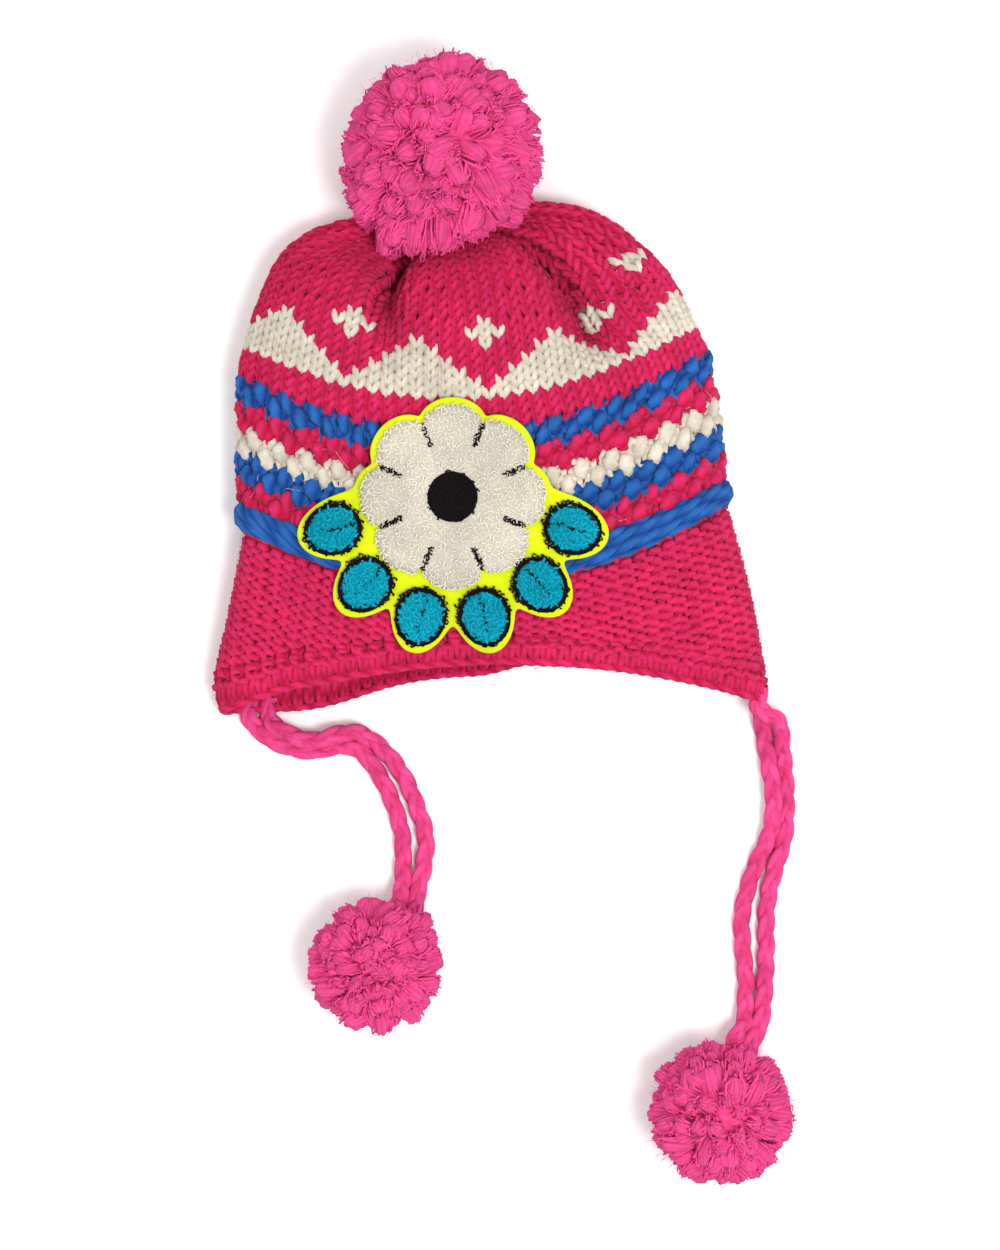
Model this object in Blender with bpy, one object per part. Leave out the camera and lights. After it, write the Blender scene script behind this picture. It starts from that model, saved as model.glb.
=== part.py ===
"""Chunky knitted child's beanie with earflaps, a top pompom, a patch and tied cords.

The hat lies on its back on a surface: the front faces +Z, the crown points along +Y and the
hem with its two earflaps along -Y. Sizes are in metres. The shell is one soft surface, worked
out from a short table of knitted rounds, and each knitted section is a closed wall cut from it.
"""

import math
from collections import namedtuple

import bmesh
import bpy
import numpy as np
from mathutils import Vector
from mathutils.bvhtree import BVHTree

# Overall sizes of the relaxed hat, lying on its back
BODY_WIDTH = 0.2190
HAT_LENGTH = 0.2145
LYING_HEIGHT = 0.0510
CENTRE_LINE_X = -0.0042
TIP_LINE_Y = -0.1420

# Walls: each stands out by this much from the middle of the knitted fabric
FABRIC_INSIDE = 0.0025
CROWN_OUTSIDE = 0.0025
SKIRT_OUTSIDE = 0.0025
SEED_OUTSIDE = 0.0030
RIDGE_OUTSIDE = 0.0042
BAND_OUTSIDE = 0.0042
TRIM_OUTSIDE = 0.0034
SEAM_GAP = 0.0003
FLOOR_SNAP = 0.0004

# Pompoms. The top one leans a little to the left, up the hat and away from the surface. Lock
# sizes are shares of a pompom's radius; the press is the cone in which the crown flattens it.
TOP_POMPOM_RADIUS = 0.0440
TOP_POMPOM_SEAT = 0.0345
TOP_POMPOM_LEAN = (-0.146, 0.703, 0.697)
TOP_POMPOM_PRESS_ANGLE = 60.0
PRESS_SOFTNESS = 0.0015
TIE_POMPOM_RADIUS = {"left": 0.0300, "right": 0.0325}
TIE_POMPOM_NECK_ANGLE = 27.0
LOCK_VALLEY = 0.80
LOCK_SHOULDER = 0.95
LOCK_SHOULDER_PLACE = 0.55
LOCK_REACHES = (0.93, 1.04)
LOCK_UNEVENNESS = 0.18
TOP_LOCKS = 58
TIE_LOCKS = 30

# Braided ties. A strand leaves the hem straight for the length of the stub.
TIE_DIAMETER = 0.0066
TIE_GAP = 0.0005
TIE_STUB = 0.0035
TIE_LEAD_IN = 0.0070
TIE_ENTRY_SLOPE = 24.0
TIE_POINTS_PER_STRAND = 17
TIE_EXIT_SPREAD = 0.014

# Patch: felt base with raised loop pile
FELT_THICKNESS = 0.0016
PILE_THICKNESS = 0.0032
FELT_MARGIN = 0.0032
FLOWER_RADIUS = 0.0400
FLOWER_PETALS = 8
PETAL_DEPTH = 0.16
PETAL_ROUNDNESS = 0.60
FLOWER_HOLE_RADIUS = 0.0128
FLOWER_EYE_RADIUS = 0.0100
LEAF_GAP = 0.0008
LEAF_LENGTH = 0.0257
LEAF_ROOT = FLOWER_RADIUS + LEAF_GAP
LEAF_TIP = LEAF_ROOT + LEAF_LENGTH
LEAF_HALF_WIDTH = 0.0112
LEAF_NARROWING = 0.22
LEAF_TURNS = (195.0, 225.0, 255.0, 285.0, 315.0, 345.0)
PATCH_ACROSS = -0.056
PATCH_UP = 0.427
PATCH_GAP = 0.0009
PILE_GAP = 0.0006

# How finely the surface is sampled: facets round the hat, points of a dense section, and the
# steps in turns and rows over which directions are measured
AROUND = 48
SECTION_SAMPLES = 720
TURN_STEP = 0.002
ROW_STEP = 0.02
ROUTE_SAMPLES = 24
SMOOTH_ANGLE = 50.0

# One row for each named round of knitting, from the hem up. Sides and heights are shares:
# left and right of BODY_WIDTH from the centre line, up_* of HAT_LENGTH from the flap tips,
# loft, side and lift of LYING_HEIGHT: the front's height, the side fold's height, the back's height.
Round = namedtuple("Round", "name left right up_left up_front up_right up_back loft side lift")
ROUNDS = [
    Round("hem", -0.536, 0.580, -0.006, 0.096, 0.016, 0.070, 0.72, 0.20, 0.00),
    Round("trim_top", -0.541, 0.574, 0.057, 0.144, 0.072, 0.122, 0.80, 0.24, 0.00),
    Round("skirt_middle", -0.508, 0.542, 0.209, 0.197, 0.240, 0.190, 0.92, 0.32, 0.00),
    Round("blue_low", -0.480, 0.497, 0.359, 0.250, 0.411, 0.275, 0.98, 0.38, 0.00),
    Round("blue_top", -0.490, 0.492, 0.421, 0.312, 0.466, 0.335, 1.00, 0.40, 0.00),
    Round("seed_middle", -0.492, 0.482, 0.524, 0.412, 0.575, 0.435, 1.00, 0.41, 0.00),
    Round("ridge_low", -0.492, 0.466, 0.626, 0.513, 0.678, 0.540, 1.00, 0.41, 0.00),
    Round("ridge_top", -0.490, 0.456, 0.684, 0.565, 0.733, 0.590, 1.00, 0.41, 0.00),
    Round("cream_base", -0.480, 0.434, 0.739, 0.630, 0.778, 0.655, 0.99, 0.41, 0.00),
    Round("peaks", -0.446, 0.396, 0.848, 0.760, 0.862, 0.780, 0.96, 0.40, 0.00),
    Round("shoulder", -0.400, 0.338, 0.934, 0.862, 0.934, 0.885, 0.88, 0.38, 0.00),
    Round("brow", -0.315, 0.230, 0.988, 0.934, 1.015, 0.955, 0.68, 0.34, 0.02),
    Round("inner", -0.175, 0.082, 1.008, 0.980, 1.036, 0.990, 0.48, 0.31, 0.07),
    Round("gather", -0.085, -0.020, 1.008, 1.000, 1.012, 1.000, 0.36, 0.28, 0.18),
]
ROUND_AT = {knit_round.name: index for index, knit_round in enumerate(ROUNDS)}
FRONT_SQUARENESS = 0.80
BACK_SQUARENESS = 0.50

# The hem hangs lower behind the left flap: where across the back, how wide and how far
HEM_DROP_AT = -0.66
HEM_DROP_SPREAD = 0.26
HEM_DROP = 0.034

# One row for each gather or crease. turn is the share of a turn from the right side over the
# front; left_width and right_width are shares of a turn; depth is a share of LYING_HEIGHT; the crease
# grows from the round "starts" and is full at the round "full"; lean draws the cloth on its
# right over it, as a share of LYING_HEIGHT.
Crease = namedtuple("Crease", "name turn left_width right_width depth starts full lean")
CREASES = [
    Crease("left_gather", 0.346, 0.019, 0.022, 0.39, "cream_base", "shoulder", 0.00),
    Crease("left_hollow", 0.368, 0.044, 0.020, 0.22, "peaks", "brow", 0.00),
    Crease("right_gather", 0.110, 0.038, 0.023, 0.38, "cream_base", "peaks", 0.18),
    Crease("left_side", 0.440, 0.026, 0.026, 0.10, "peaks", "brow", 0.00),
    Crease("right_side", 0.045, 0.026, 0.026, 0.10, "peaks", "inner", 0.00),
    Crease("back_left", 0.640, 0.040, 0.040, 0.16, "peaks", "brow", 0.00),
    Crease("back_right", 0.870, 0.040, 0.040, 0.16, "peaks", "brow", 0.00),
    Crease("skirt_left", 0.442, 0.022, 0.030, 0.09, "blue_top", "skirt_middle", 0.00),
]

# Ties: two braided strands from each flap to a small pompom. Each route point is measured from
# the flap's exit across (X) and along (Y), with its height above the surface (Z), in metres.
Tie = namedtuple("Tie", "side exit_turns pompom_offset pompom_height entry_turn routes")
TIES = [
    Tie(
        "left", (0.540, 0.557), (0.0570, -0.1105), 0.0280, 62.0,
        (
            ((0.0033, -0.0070, 0.0036), (0.0096, -0.0124, 0.0034), (0.0189, -0.0160, 0.0034),
             (0.0283, -0.0172, 0.0034), (0.0410, -0.0150, 0.0034), (0.0498, -0.0178, 0.0034),
             (0.0583, -0.0288, 0.0034), (0.0645, -0.0420, 0.0034), (0.0681, -0.0554, 0.0034),
             (0.0685, -0.0687, 0.0042), (0.0682, -0.0769, 0.0075)),
            ((0.0115, -0.0058, 0.0062), (0.0197, -0.0103, 0.0086), (0.0296, -0.0123, 0.0096),
             (0.0420, -0.0090, 0.0092), (0.0508, -0.0100, 0.0062), (0.0605, -0.0177, 0.0036),
             (0.0687, -0.0288, 0.0034), (0.0745, -0.0420, 0.0034), (0.0785, -0.0554, 0.0034),
             (0.0776, -0.0687, 0.0042), (0.0755, -0.0769, 0.0075)),
        ),
    ),
    Tie(
        "right", (0.993, 0.013), (-0.0185, -0.1800), 0.0305, 70.0,
        (
            ((0.0015, -0.0107, 0.0040), (0.0029, -0.0192, 0.0036), (0.0045, -0.0289, 0.0060),
             (0.0061, -0.0399, 0.0080), (0.0061, -0.0510, 0.0080), (0.0041, -0.0614, 0.0056),
             (-0.0007, -0.0723, 0.0036), (-0.0047, -0.0839, 0.0034), (-0.0074, -0.0968, 0.0034),
             (-0.0069, -0.1116, 0.0034), (-0.0056, -0.1250, 0.0036), (-0.0061, -0.1360, 0.0056),
             (-0.0068, -0.1440, 0.0095)),
            ((0.0088, -0.0097, 0.0080), (0.0104, -0.0191, 0.0040), (0.0114, -0.0290, 0.0034),
             (0.0123, -0.0401, 0.0034), (0.0123, -0.0513, 0.0034), (0.0114, -0.0616, 0.0034),
             (0.0083, -0.0723, 0.0034), (0.0051, -0.0839, 0.0034), (0.0034, -0.0968, 0.0034),
             (0.0034, -0.1116, 0.0034), (0.0029, -0.1250, 0.0036), (0.0018, -0.1360, 0.0056),
             (0.0002, -0.1440, 0.0095)),
        ),
    ),
]

COLOURS = {
    "raspberry": (0.72, 0.035, 0.15),
    "pompom_pink": (0.85, 0.075, 0.30),
    "blue": (0.022, 0.13, 0.54),
    "cream": (0.76, 0.68, 0.56),
    "felt_yellow": (0.72, 0.87, 0.01),
    "turquoise": (0.0, 0.36, 0.52),
    "black": (0.010, 0.008, 0.010),
}


def clear_scene():
    """Remove every object, so that the file holds the hat alone."""
    for old in list(bpy.data.objects):
        bpy.data.objects.remove(old, do_unlink=True)


def material(name):
    """Return the plain yarn or felt material of one colour."""
    found = bpy.data.materials.get(name)
    if found:
        return found
    made = bpy.data.materials.new(name)
    made.use_nodes = True
    shader = made.node_tree.nodes["Principled BSDF"]
    shader.inputs["Base Color"].default_value = (*COLOURS[name], 1.0)
    shader.inputs["Roughness"].default_value = 0.9
    shader.inputs["Metallic"].default_value = 0.0
    return made


def object_from_faces(name, vertices, faces, colour):
    """Make a closed, smooth-shaded mesh object with its faces pointing out."""
    shape = bmesh.new()
    corners = [shape.verts.new(vertex) for vertex in vertices]
    for face in faces:
        shape.faces.new([corners[index] for index in face])
    bmesh.ops.recalc_face_normals(shape, faces=shape.faces)
    if shape.calc_volume(signed=True) < 0.0:
        bmesh.ops.reverse_faces(shape, faces=shape.faces)
    mesh = bpy.data.meshes.new(name)
    shape.to_mesh(mesh)
    shape.free()
    mesh.shade_smooth()
    mesh.set_sharp_from_angle(angle=math.radians(SMOOTH_ANGLE))
    mesh.materials.append(material(colour))
    made = bpy.data.objects.new(name, mesh)
    bpy.context.scene.collection.objects.link(made)
    return made


def smooth_step(value):
    """Return an eased 0 to 1 ramp of an array."""
    held = np.clip(value, 0.0, 1.0)
    return held * held * (3.0 - 2.0 * held)


def round_at(row):
    """Return the knitted round at a fractional place in the table, by a smooth curve."""
    last = len(ROUNDS) - 1
    start = int(min(max(math.floor(row), 0), last - 1))
    part = row - start
    rows = [ROUNDS[min(max(start + step, 0), last)][1:] for step in (-1, 0, 1, 2)]
    before, here, after, beyond = (np.array(values) for values in rows)
    slope_here = 0.5 * (after - before)
    slope_after = 0.5 * (beyond - here)
    squared, cubed = part * part, part * part * part
    values = (
        (2 * cubed - 3 * squared + 1) * here
        + (cubed - 2 * squared + part) * slope_here
        + (3 * squared - 2 * cubed) * after
        + (cubed - squared) * slope_after
    )
    return Round("between", *values)


def gather_point():
    """Return the middle of the drawn-up crown, where the top pompom is tied on."""
    last = ROUNDS[-1]
    across = 0.5 * (last.left + last.right)
    up = 0.25 * (last.up_left + last.up_right + last.up_front + last.up_back)
    return np.array((
        CENTRE_LINE_X + across * BODY_WIDTH,
        TIP_LINE_Y + up * HAT_LENGTH,
        last.side * LYING_HEIGHT,
    ))


def pompom_lean():
    """Return the direction from the gathered crown to the middle of the top pompom."""
    return np.array(TOP_POMPOM_LEAN) / np.linalg.norm(TOP_POMPOM_LEAN)


def top_pompom_centre():
    """Return the middle of the top pompom, seated on the gathered crown."""
    return gather_point() + pompom_lean() * (TOP_POMPOM_SEAT + CROWN_OUTSIDE)


def plain_section(row):
    """Return a dense closed loop of the middle of the fabric at one round, without creases."""
    knit_round = round_at(row)
    angles = np.linspace(0.0, 2.0 * math.pi, SECTION_SAMPLES, endpoint=False)
    cosines, sines = np.cos(angles), np.sin(angles)
    front = sines >= 0.0
    power = np.where(front, FRONT_SQUARENESS, BACK_SQUARENESS)
    across = np.sign(cosines) * np.abs(cosines) ** power
    rise = np.abs(sines) ** power
    left = knit_round.left * BODY_WIDTH + FABRIC_INSIDE
    right = knit_round.right * BODY_WIDTH - FABRIC_INSIDE
    x = CENTRE_LINE_X + 0.5 * (left + right) + 0.5 * (right - left) * across
    sides = 0.5 * (knit_round.up_left + knit_round.up_right)
    tilt = 0.5 * (knit_round.up_right - knit_round.up_left)
    middle = np.where(front, knit_round.up_front, knit_round.up_back)
    up = sides + tilt * across + (middle - sides) * (1.0 - across ** 2)
    hem_share = np.clip(1.0 - row / ROUND_AT["blue_low"], 0.0, 1.0)
    drop = HEM_DROP * hem_share * np.exp(-((across - HEM_DROP_AT) / HEM_DROP_SPREAD) ** 2)
    up = up - np.where(front, 0.0, drop * smooth_step(rise * 2.0))
    y = TIP_LINE_Y + up * HAT_LENGTH
    top = knit_round.loft * LYING_HEIGHT - CROWN_OUTSIDE
    bottom = knit_round.lift * LYING_HEIGHT + FABRIC_INSIDE
    side = knit_round.side * LYING_HEIGHT
    z = np.where(front, side + (top - side) * rise, side - (side - bottom) * rise)
    return np.column_stack((x, y, z))


def walk_section(row, turns):
    """Return the points of one round at the given shares of a turn, by length round it."""
    loop = plain_section(row)
    closed = np.vstack((loop, loop[:1]))
    steps = np.linalg.norm(np.diff(closed, axis=0), axis=1)
    walked = np.concatenate(((0.0,), np.cumsum(steps)))
    wanted = np.mod(turns, 1.0) * walked[-1]
    return np.column_stack([np.interp(wanted, walked, closed[:, axis]) for axis in range(3)])


def surface_normals(points_at, rows, turns):
    """Return unit normals, facing out of the hat, of a surface given as a function."""
    top = len(ROUNDS) - 1
    along = np.array([
        points_at(min(row + ROW_STEP, top), turns) - points_at(max(row - ROW_STEP, 0.0), turns)
        for row in rows
    ])
    across = np.array([
        points_at(row, turns + TURN_STEP) - points_at(row, turns - TURN_STEP) for row in rows
    ])
    normals = np.cross(across, along)
    lengths = np.linalg.norm(normals, axis=2, keepdims=True)
    return -normals / np.maximum(lengths, 1e-12)


def creased_section(row, turns):
    """Return one round of the fabric's middle with its gathers and creases."""
    points = walk_section(row, turns)
    normals = surface_normals(walk_section, [row], turns)[0]
    step = walk_section(row, turns + TURN_STEP) - walk_section(row, turns - TURN_STEP)
    tangents = step / np.maximum(np.linalg.norm(step, axis=1, keepdims=True), 1e-12)
    for crease in CREASES:
        starts, full = ROUND_AT[crease.starts], ROUND_AT[crease.full]
        grown = float(smooth_step((row - starts) / (full - starts)))
        offset = np.mod(turns - crease.turn + 0.5, 1.0) - 0.5
        width = np.where(offset > 0.0, crease.left_width, crease.right_width)
        dent = grown * crease.depth * LYING_HEIGHT * np.exp(-(offset / width) ** 2)
        beside = np.exp(-((offset + 1.5 * crease.right_width) / crease.left_width) ** 2)
        points = points - normals * dent[:, None]
        points = points + tangents * (grown * crease.lean * LYING_HEIGHT * beside)[:, None]
    return points


def hat_section(row, turns):
    """Return one round of the fabric's middle, hollowed where the top pompom presses it."""
    points = creased_section(row, turns)
    points[:, 2] = np.maximum(points[:, 2], FABRIC_INSIDE)
    away = points - top_pompom_centre()
    reach = np.linalg.norm(away, axis=1)
    seat = TOP_POMPOM_SEAT + CROWN_OUTSIDE
    pushed = 0.5 * (reach + seat + np.sqrt((reach - seat) ** 2 + PRESS_SOFTNESS ** 2))
    return top_pompom_centre() + away * (pushed / reach)[:, None]


def hat_walls(rows, turns, outside):
    """Return the outer and inner surfaces of a wall, each rows by turns by three."""
    middle = np.array([hat_section(row, turns) for row in rows])
    normals = surface_normals(hat_section, rows, turns)
    outer = middle + normals * outside
    inner = middle - normals * FABRIC_INSIDE
    outer[:, :, 2] = np.where(outer[:, :, 2] < FLOOR_SNAP, 0.0, outer[:, :, 2])
    return outer, inner


def seam_row(row, direction):
    """Return the row moved by half a seam's gap towards one end of a section."""
    turns = np.linspace(0.0, 1.0, 12, endpoint=False)
    here = hat_section(row, turns)
    beside = hat_section(row + ROW_STEP * direction, turns)
    spacing = float(np.mean(np.linalg.norm(beside - here, axis=1))) / ROW_STEP
    return row + direction * 0.5 * SEAM_GAP / spacing


def knitted_section(name, low, high, spans, outside, colour):
    """Build one knitted section as a closed wall between two named rounds.

    A section that ends at the gather is closed there, because the crown is drawn together.
    """
    closed_top = high == "gather"
    row_low = ROUND_AT[low] if low == "hem" else seam_row(ROUND_AT[low], 1.0)
    row_high = ROUND_AT[high] if closed_top else seam_row(ROUND_AT[high], -1.0)
    rows = np.linspace(row_low, row_high, spans + 1)
    turns = np.arange(AROUND) / AROUND
    outer, inner = hat_walls(rows, turns, outside)
    vertices = [tuple(point) for point in np.concatenate((outer, inner)).reshape(-1, 3)]
    inner_start = (spans + 1) * AROUND
    faces = []
    for span in range(spans):
        for place in range(AROUND):
            after = (place + 1) % AROUND
            low_left, low_right = span * AROUND + place, span * AROUND + after
            quad = (low_left, low_right, low_right + AROUND, low_left + AROUND)
            faces.append(quad)
            faces.append(tuple(inner_start + corner for corner in reversed(quad)))
    ends = [0] if closed_top else [0, spans]
    for end in ends:
        for place in range(AROUND):
            after = (place + 1) % AROUND
            here, there = end * AROUND + place, end * AROUND + after
            faces.append((here, there, inner_start + there, inner_start + here))
    if closed_top:
        outer_pole, inner_pole = len(vertices), len(vertices) + 1
        vertices.append(tuple(gather_point() + pompom_lean() * outside))
        vertices.append(tuple(gather_point() - pompom_lean() * FABRIC_INSIDE))
        for place in range(AROUND):
            here, there = spans * AROUND + place, spans * AROUND + (place + 1) % AROUND
            faces.append((here, there, outer_pole))
            faces.append((inner_start + there, inner_start + here, inner_pole))
    return object_from_faces(name, vertices, faces, colour)


def sphere_directions(count, seed):
    """Return slightly uneven directions spread over a sphere."""
    uneven = np.random.default_rng(seed)
    index = np.arange(count) + 0.5
    polar = np.arccos(1.0 - 2.0 * index / count)
    spin = math.pi * (1.0 + math.sqrt(5.0)) * index
    found = np.column_stack((
        np.cos(spin) * np.sin(polar), np.sin(spin) * np.sin(polar), np.cos(polar)))
    found += uneven.normal(0.0, LOCK_UNEVENNESS / math.sqrt(count), found.shape)
    return found / np.linalg.norm(found, axis=1, keepdims=True)


def lock_ball(name, centre, radius, count, seed, limit, colour):
    """Build a pompom: rounded locks of yarn fused to a head.

    limit gives the farthest reach allowed in a direction, where the pompom is pressed.
    """
    uneven = np.random.default_rng(seed + 1)
    tips = sphere_directions(count, seed)
    hull = bmesh.new()
    for tip in tips:
        hull.verts.new(tip)
    bmesh.ops.convex_hull(hull, input=hull.verts)
    bmesh.ops.triangulate(hull, faces=hull.faces)
    hull.verts.index_update()
    hull.faces.index_update()
    reaches = radius * uneven.uniform(*LOCK_REACHES, count)
    vertices = []

    def add(direction, reach):
        unit = direction / np.linalg.norm(direction)
        vertices.append(tuple(centre + unit * min(reach, limit(unit))))
        return len(vertices) - 1

    tip_at = [add(tip, reach) for tip, reach in zip(tips, reaches)]
    valley_at, shoulder_at = {}, {}
    for face in hull.faces:
        corners = [corner.index for corner in face.verts]
        middle = np.mean([tips[corner] for corner in corners], axis=0)
        middle = middle / np.linalg.norm(middle)
        valley_at[face.index] = add(middle, radius * LOCK_VALLEY)
        for corner in corners:
            shoulder = tips[corner] + (middle - tips[corner]) * LOCK_SHOULDER_PLACE
            reach = reaches[corner] * LOCK_SHOULDER
            shoulder_at[(corner, face.index)] = add(shoulder, reach)
    faces = []
    for edge in hull.edges:
        first, second = (face.index for face in edge.link_faces)
        for corner in (vertex.index for vertex in edge.verts):
            near, far = shoulder_at[(corner, first)], shoulder_at[(corner, second)]
            faces.append((tip_at[corner], near, far))
            faces.append((near, valley_at[first], valley_at[second], far))
    hull.free()
    return object_from_faces(name, vertices, faces, colour)


def reach_to_floor(height, unit):
    """Return how far a ray from the given height goes before it meets the surface."""
    return height / max(-unit[2], 1e-6)


def top_pompom():
    """Build the big pompom, pressed flat on the surface and into its seat on the crown."""
    centre = top_pompom_centre()
    to_seat = -pompom_lean()

    def limit(unit):
        toward_seat = float(np.dot(unit, to_seat)) > math.cos(math.radians(TOP_POMPOM_PRESS_ANGLE))
        seat = TOP_POMPOM_SEAT - TIE_GAP if toward_seat else math.inf
        return min(seat, reach_to_floor(centre[2], unit))

    return lock_ball("top_pompom", centre, TOP_POMPOM_RADIUS, TOP_LOCKS, 5, limit, "pompom_pink")


def hem_exit(turn):
    """Return the place just past the hem where a strand leaves it, towards -Y."""
    x, _, height = hat_section(0.0, np.array((turn,)))[0]
    nearby = hat_section(0.0, turn + np.linspace(-TIE_EXIT_SPREAD, TIE_EXIT_SPREAD, 15))
    return np.array((x, np.min(nearby[:, 1]) - TIE_GAP, max(height, 0.5 * TIE_DIAMETER)))


def tie_pompom_centre(tie):
    """Return the middle of a small pompom, measured from the first strand's exit."""
    exit_point = hem_exit(tie.exit_turns[0])
    return np.array((
        exit_point[0] + tie.pompom_offset[0],
        exit_point[1] + tie.pompom_offset[1],
        tie.pompom_height,
    ))


def entry_direction(tie):
    """Return the direction from a small pompom's middle to where its strands come in."""
    turn, slope = math.radians(tie.entry_turn), math.radians(-TIE_ENTRY_SLOPE)
    flat = math.cos(slope)
    return np.array((math.cos(turn) * flat, math.sin(turn) * flat, math.sin(slope)))


def smooth_route(points, count):
    """Return points on a smooth curve through the route's points: a stub, then even steps."""
    route = np.array(points)
    ends = np.vstack((2 * route[0] - route[1], route, 2 * route[-1] - route[-2]))
    dense = []
    for index in range(len(route) - 1):
        before, here, after, beyond = ends[index:index + 4]
        for part in np.linspace(0.0, 1.0, ROUTE_SAMPLES, endpoint=False):
            dense.append(0.5 * (
                2 * here
                + (after - before) * part
                + (2 * before - 5 * here + 4 * after - beyond) * part ** 2
                + (3 * here - before - 3 * after + beyond) * part ** 3
            ))
    dense.append(route[-1])
    dense = np.array(dense)
    steps = np.linalg.norm(np.diff(dense, axis=0), axis=1)
    walked = np.concatenate(((0.0,), np.cumsum(steps)))
    wanted = np.concatenate(((0.0,), np.linspace(TIE_STUB, walked[-1], count - 1)))
    return np.column_stack([np.interp(wanted, walked, dense[:, axis]) for axis in range(3)])


def tie_strand(tie, index):
    """Build one braided strand as a plain tube, from the flap's hem to the small pompom."""
    base = hem_exit(tie.exit_turns[0])
    start = hem_exit(tie.exit_turns[index])
    direction = entry_direction(tie)
    sideways = np.cross(direction, (0.0, 0.0, 1.0))
    sideways /= np.linalg.norm(sideways)
    neck = TIE_POMPOM_RADIUS[tie.side] * LOCK_VALLEY + TIE_GAP
    apart = 0.5 * TIE_DIAMETER + TIE_GAP
    side = -1.0 if index == 0 else 1.0
    end = tie_pompom_centre(tie) + direction * neck + sideways * side * apart
    points = [start, start + np.array((0.0, -TIE_STUB, 0.0))]
    for across, along, height in tie.routes[index]:
        points.append(np.array((base[0] + across, base[1] + along, height)))
    points += [end + direction * TIE_LEAD_IN, end]
    name = f"tie_{tie.side}_{'ab'[index]}"
    curve = bpy.data.curves.new(name, "CURVE")
    curve.dimensions = "3D"
    curve.bevel_depth = 0.5 * TIE_DIAMETER
    curve.bevel_resolution = 2
    curve.use_fill_caps = True
    spline = curve.splines.new("POLY")
    route = smooth_route(points, TIE_POINTS_PER_STRAND)
    spline.points.add(len(route) - 1)
    for point, place in zip(spline.points, route):
        point.co = (*place, 1.0)
    curve.materials.append(material("pompom_pink"))
    made = bpy.data.objects.new(name, curve)
    bpy.context.scene.collection.objects.link(made)
    return made


def tie_pompom(tie, seed):
    """Build one small pompom, resting on the surface, with its neck where the strands enter."""
    radius = TIE_POMPOM_RADIUS[tie.side]
    centre = tie_pompom_centre(tie)
    entry = entry_direction(tie)

    def limit(unit):
        near_neck = float(np.dot(unit, entry)) > math.cos(math.radians(TIE_POMPOM_NECK_ANGLE))
        neck = radius * LOCK_VALLEY if near_neck else math.inf
        return min(neck, reach_to_floor(centre[2], unit))

    name = f"tie_pompom_{tie.side}"
    return lock_ball(name, centre, radius, TIE_LOCKS, seed, limit, "pompom_pink")


class FrontHeight:
    """Height of the hat's front over the surface, for what is sewn on it."""

    def __init__(self):
        turns = np.linspace(-0.02, 0.52, 90)
        rows = np.linspace(0.0, ROUND_AT["shoulder"], 70)
        stands_out = max(RIDGE_OUTSIDE, BAND_OUTSIDE, SEED_OUTSIDE, CROWN_OUTSIDE)
        outer, _ = hat_walls(rows, turns, stands_out)
        vertices = [tuple(point) for point in outer.reshape(-1, 3)]
        faces = []
        for row in range(len(rows) - 1):
            for place in range(len(turns) - 1):
                corner = row * len(turns) + place
                faces.append((corner, corner + 1, corner + len(turns) + 1, corner + len(turns)))
        self.tree = BVHTree.FromPolygons(vertices, faces)

    def at(self, x, y):
        """Return the height of the front at one place."""
        hit, _, _, _ = self.tree.ray_cast(Vector((x, y, 1.0)), Vector((0.0, 0.0, -1.0)))
        return hit.z if hit else 0.0


def patch_centre():
    """Return the middle of the patch on the hat's front."""
    return (
        CENTRE_LINE_X + PATCH_ACROSS * BODY_WIDTH,
        TIP_LINE_Y + PATCH_UP * HAT_LENGTH,
    )


def flower_reach(angle):
    """Return the flower's outline: a ring of round petals."""
    petal = abs(math.cos(0.5 * FLOWER_PETALS * angle)) ** PETAL_ROUNDNESS
    return FLOWER_RADIUS * (1.0 - PETAL_DEPTH + PETAL_DEPTH * petal)


def ellipse_reach(angle, turn, near, far, half_width):
    """Return how far a ray from the patch's middle reaches through a leaf's ellipse."""
    middle, half_length = 0.5 * (near + far), 0.5 * (far - near)
    off = angle - math.radians(turn)
    if math.cos(off) <= 0.0:
        return 0.0
    across, along = math.sin(off) / half_width, math.cos(off) / half_length
    square = across ** 2 + along ** 2
    lean = along * middle / half_length
    inside = lean ** 2 - square * ((middle / half_length) ** 2 - 1.0)
    return (lean + math.sqrt(inside)) / square if inside > 0.0 else 0.0


def felt_reach(angle):
    """Return the felt base's outline: it follows the flower and leaves with a margin."""
    reach = flower_reach(angle) + FELT_MARGIN
    for turn in LEAF_TURNS:
        near, far = 0.5 * FLOWER_RADIUS, LEAF_TIP + FELT_MARGIN
        leaf = ellipse_reach(angle, turn, near, far, LEAF_HALF_WIDTH + FELT_MARGIN)
        reach = max(reach, leaf)
    return reach


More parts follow.
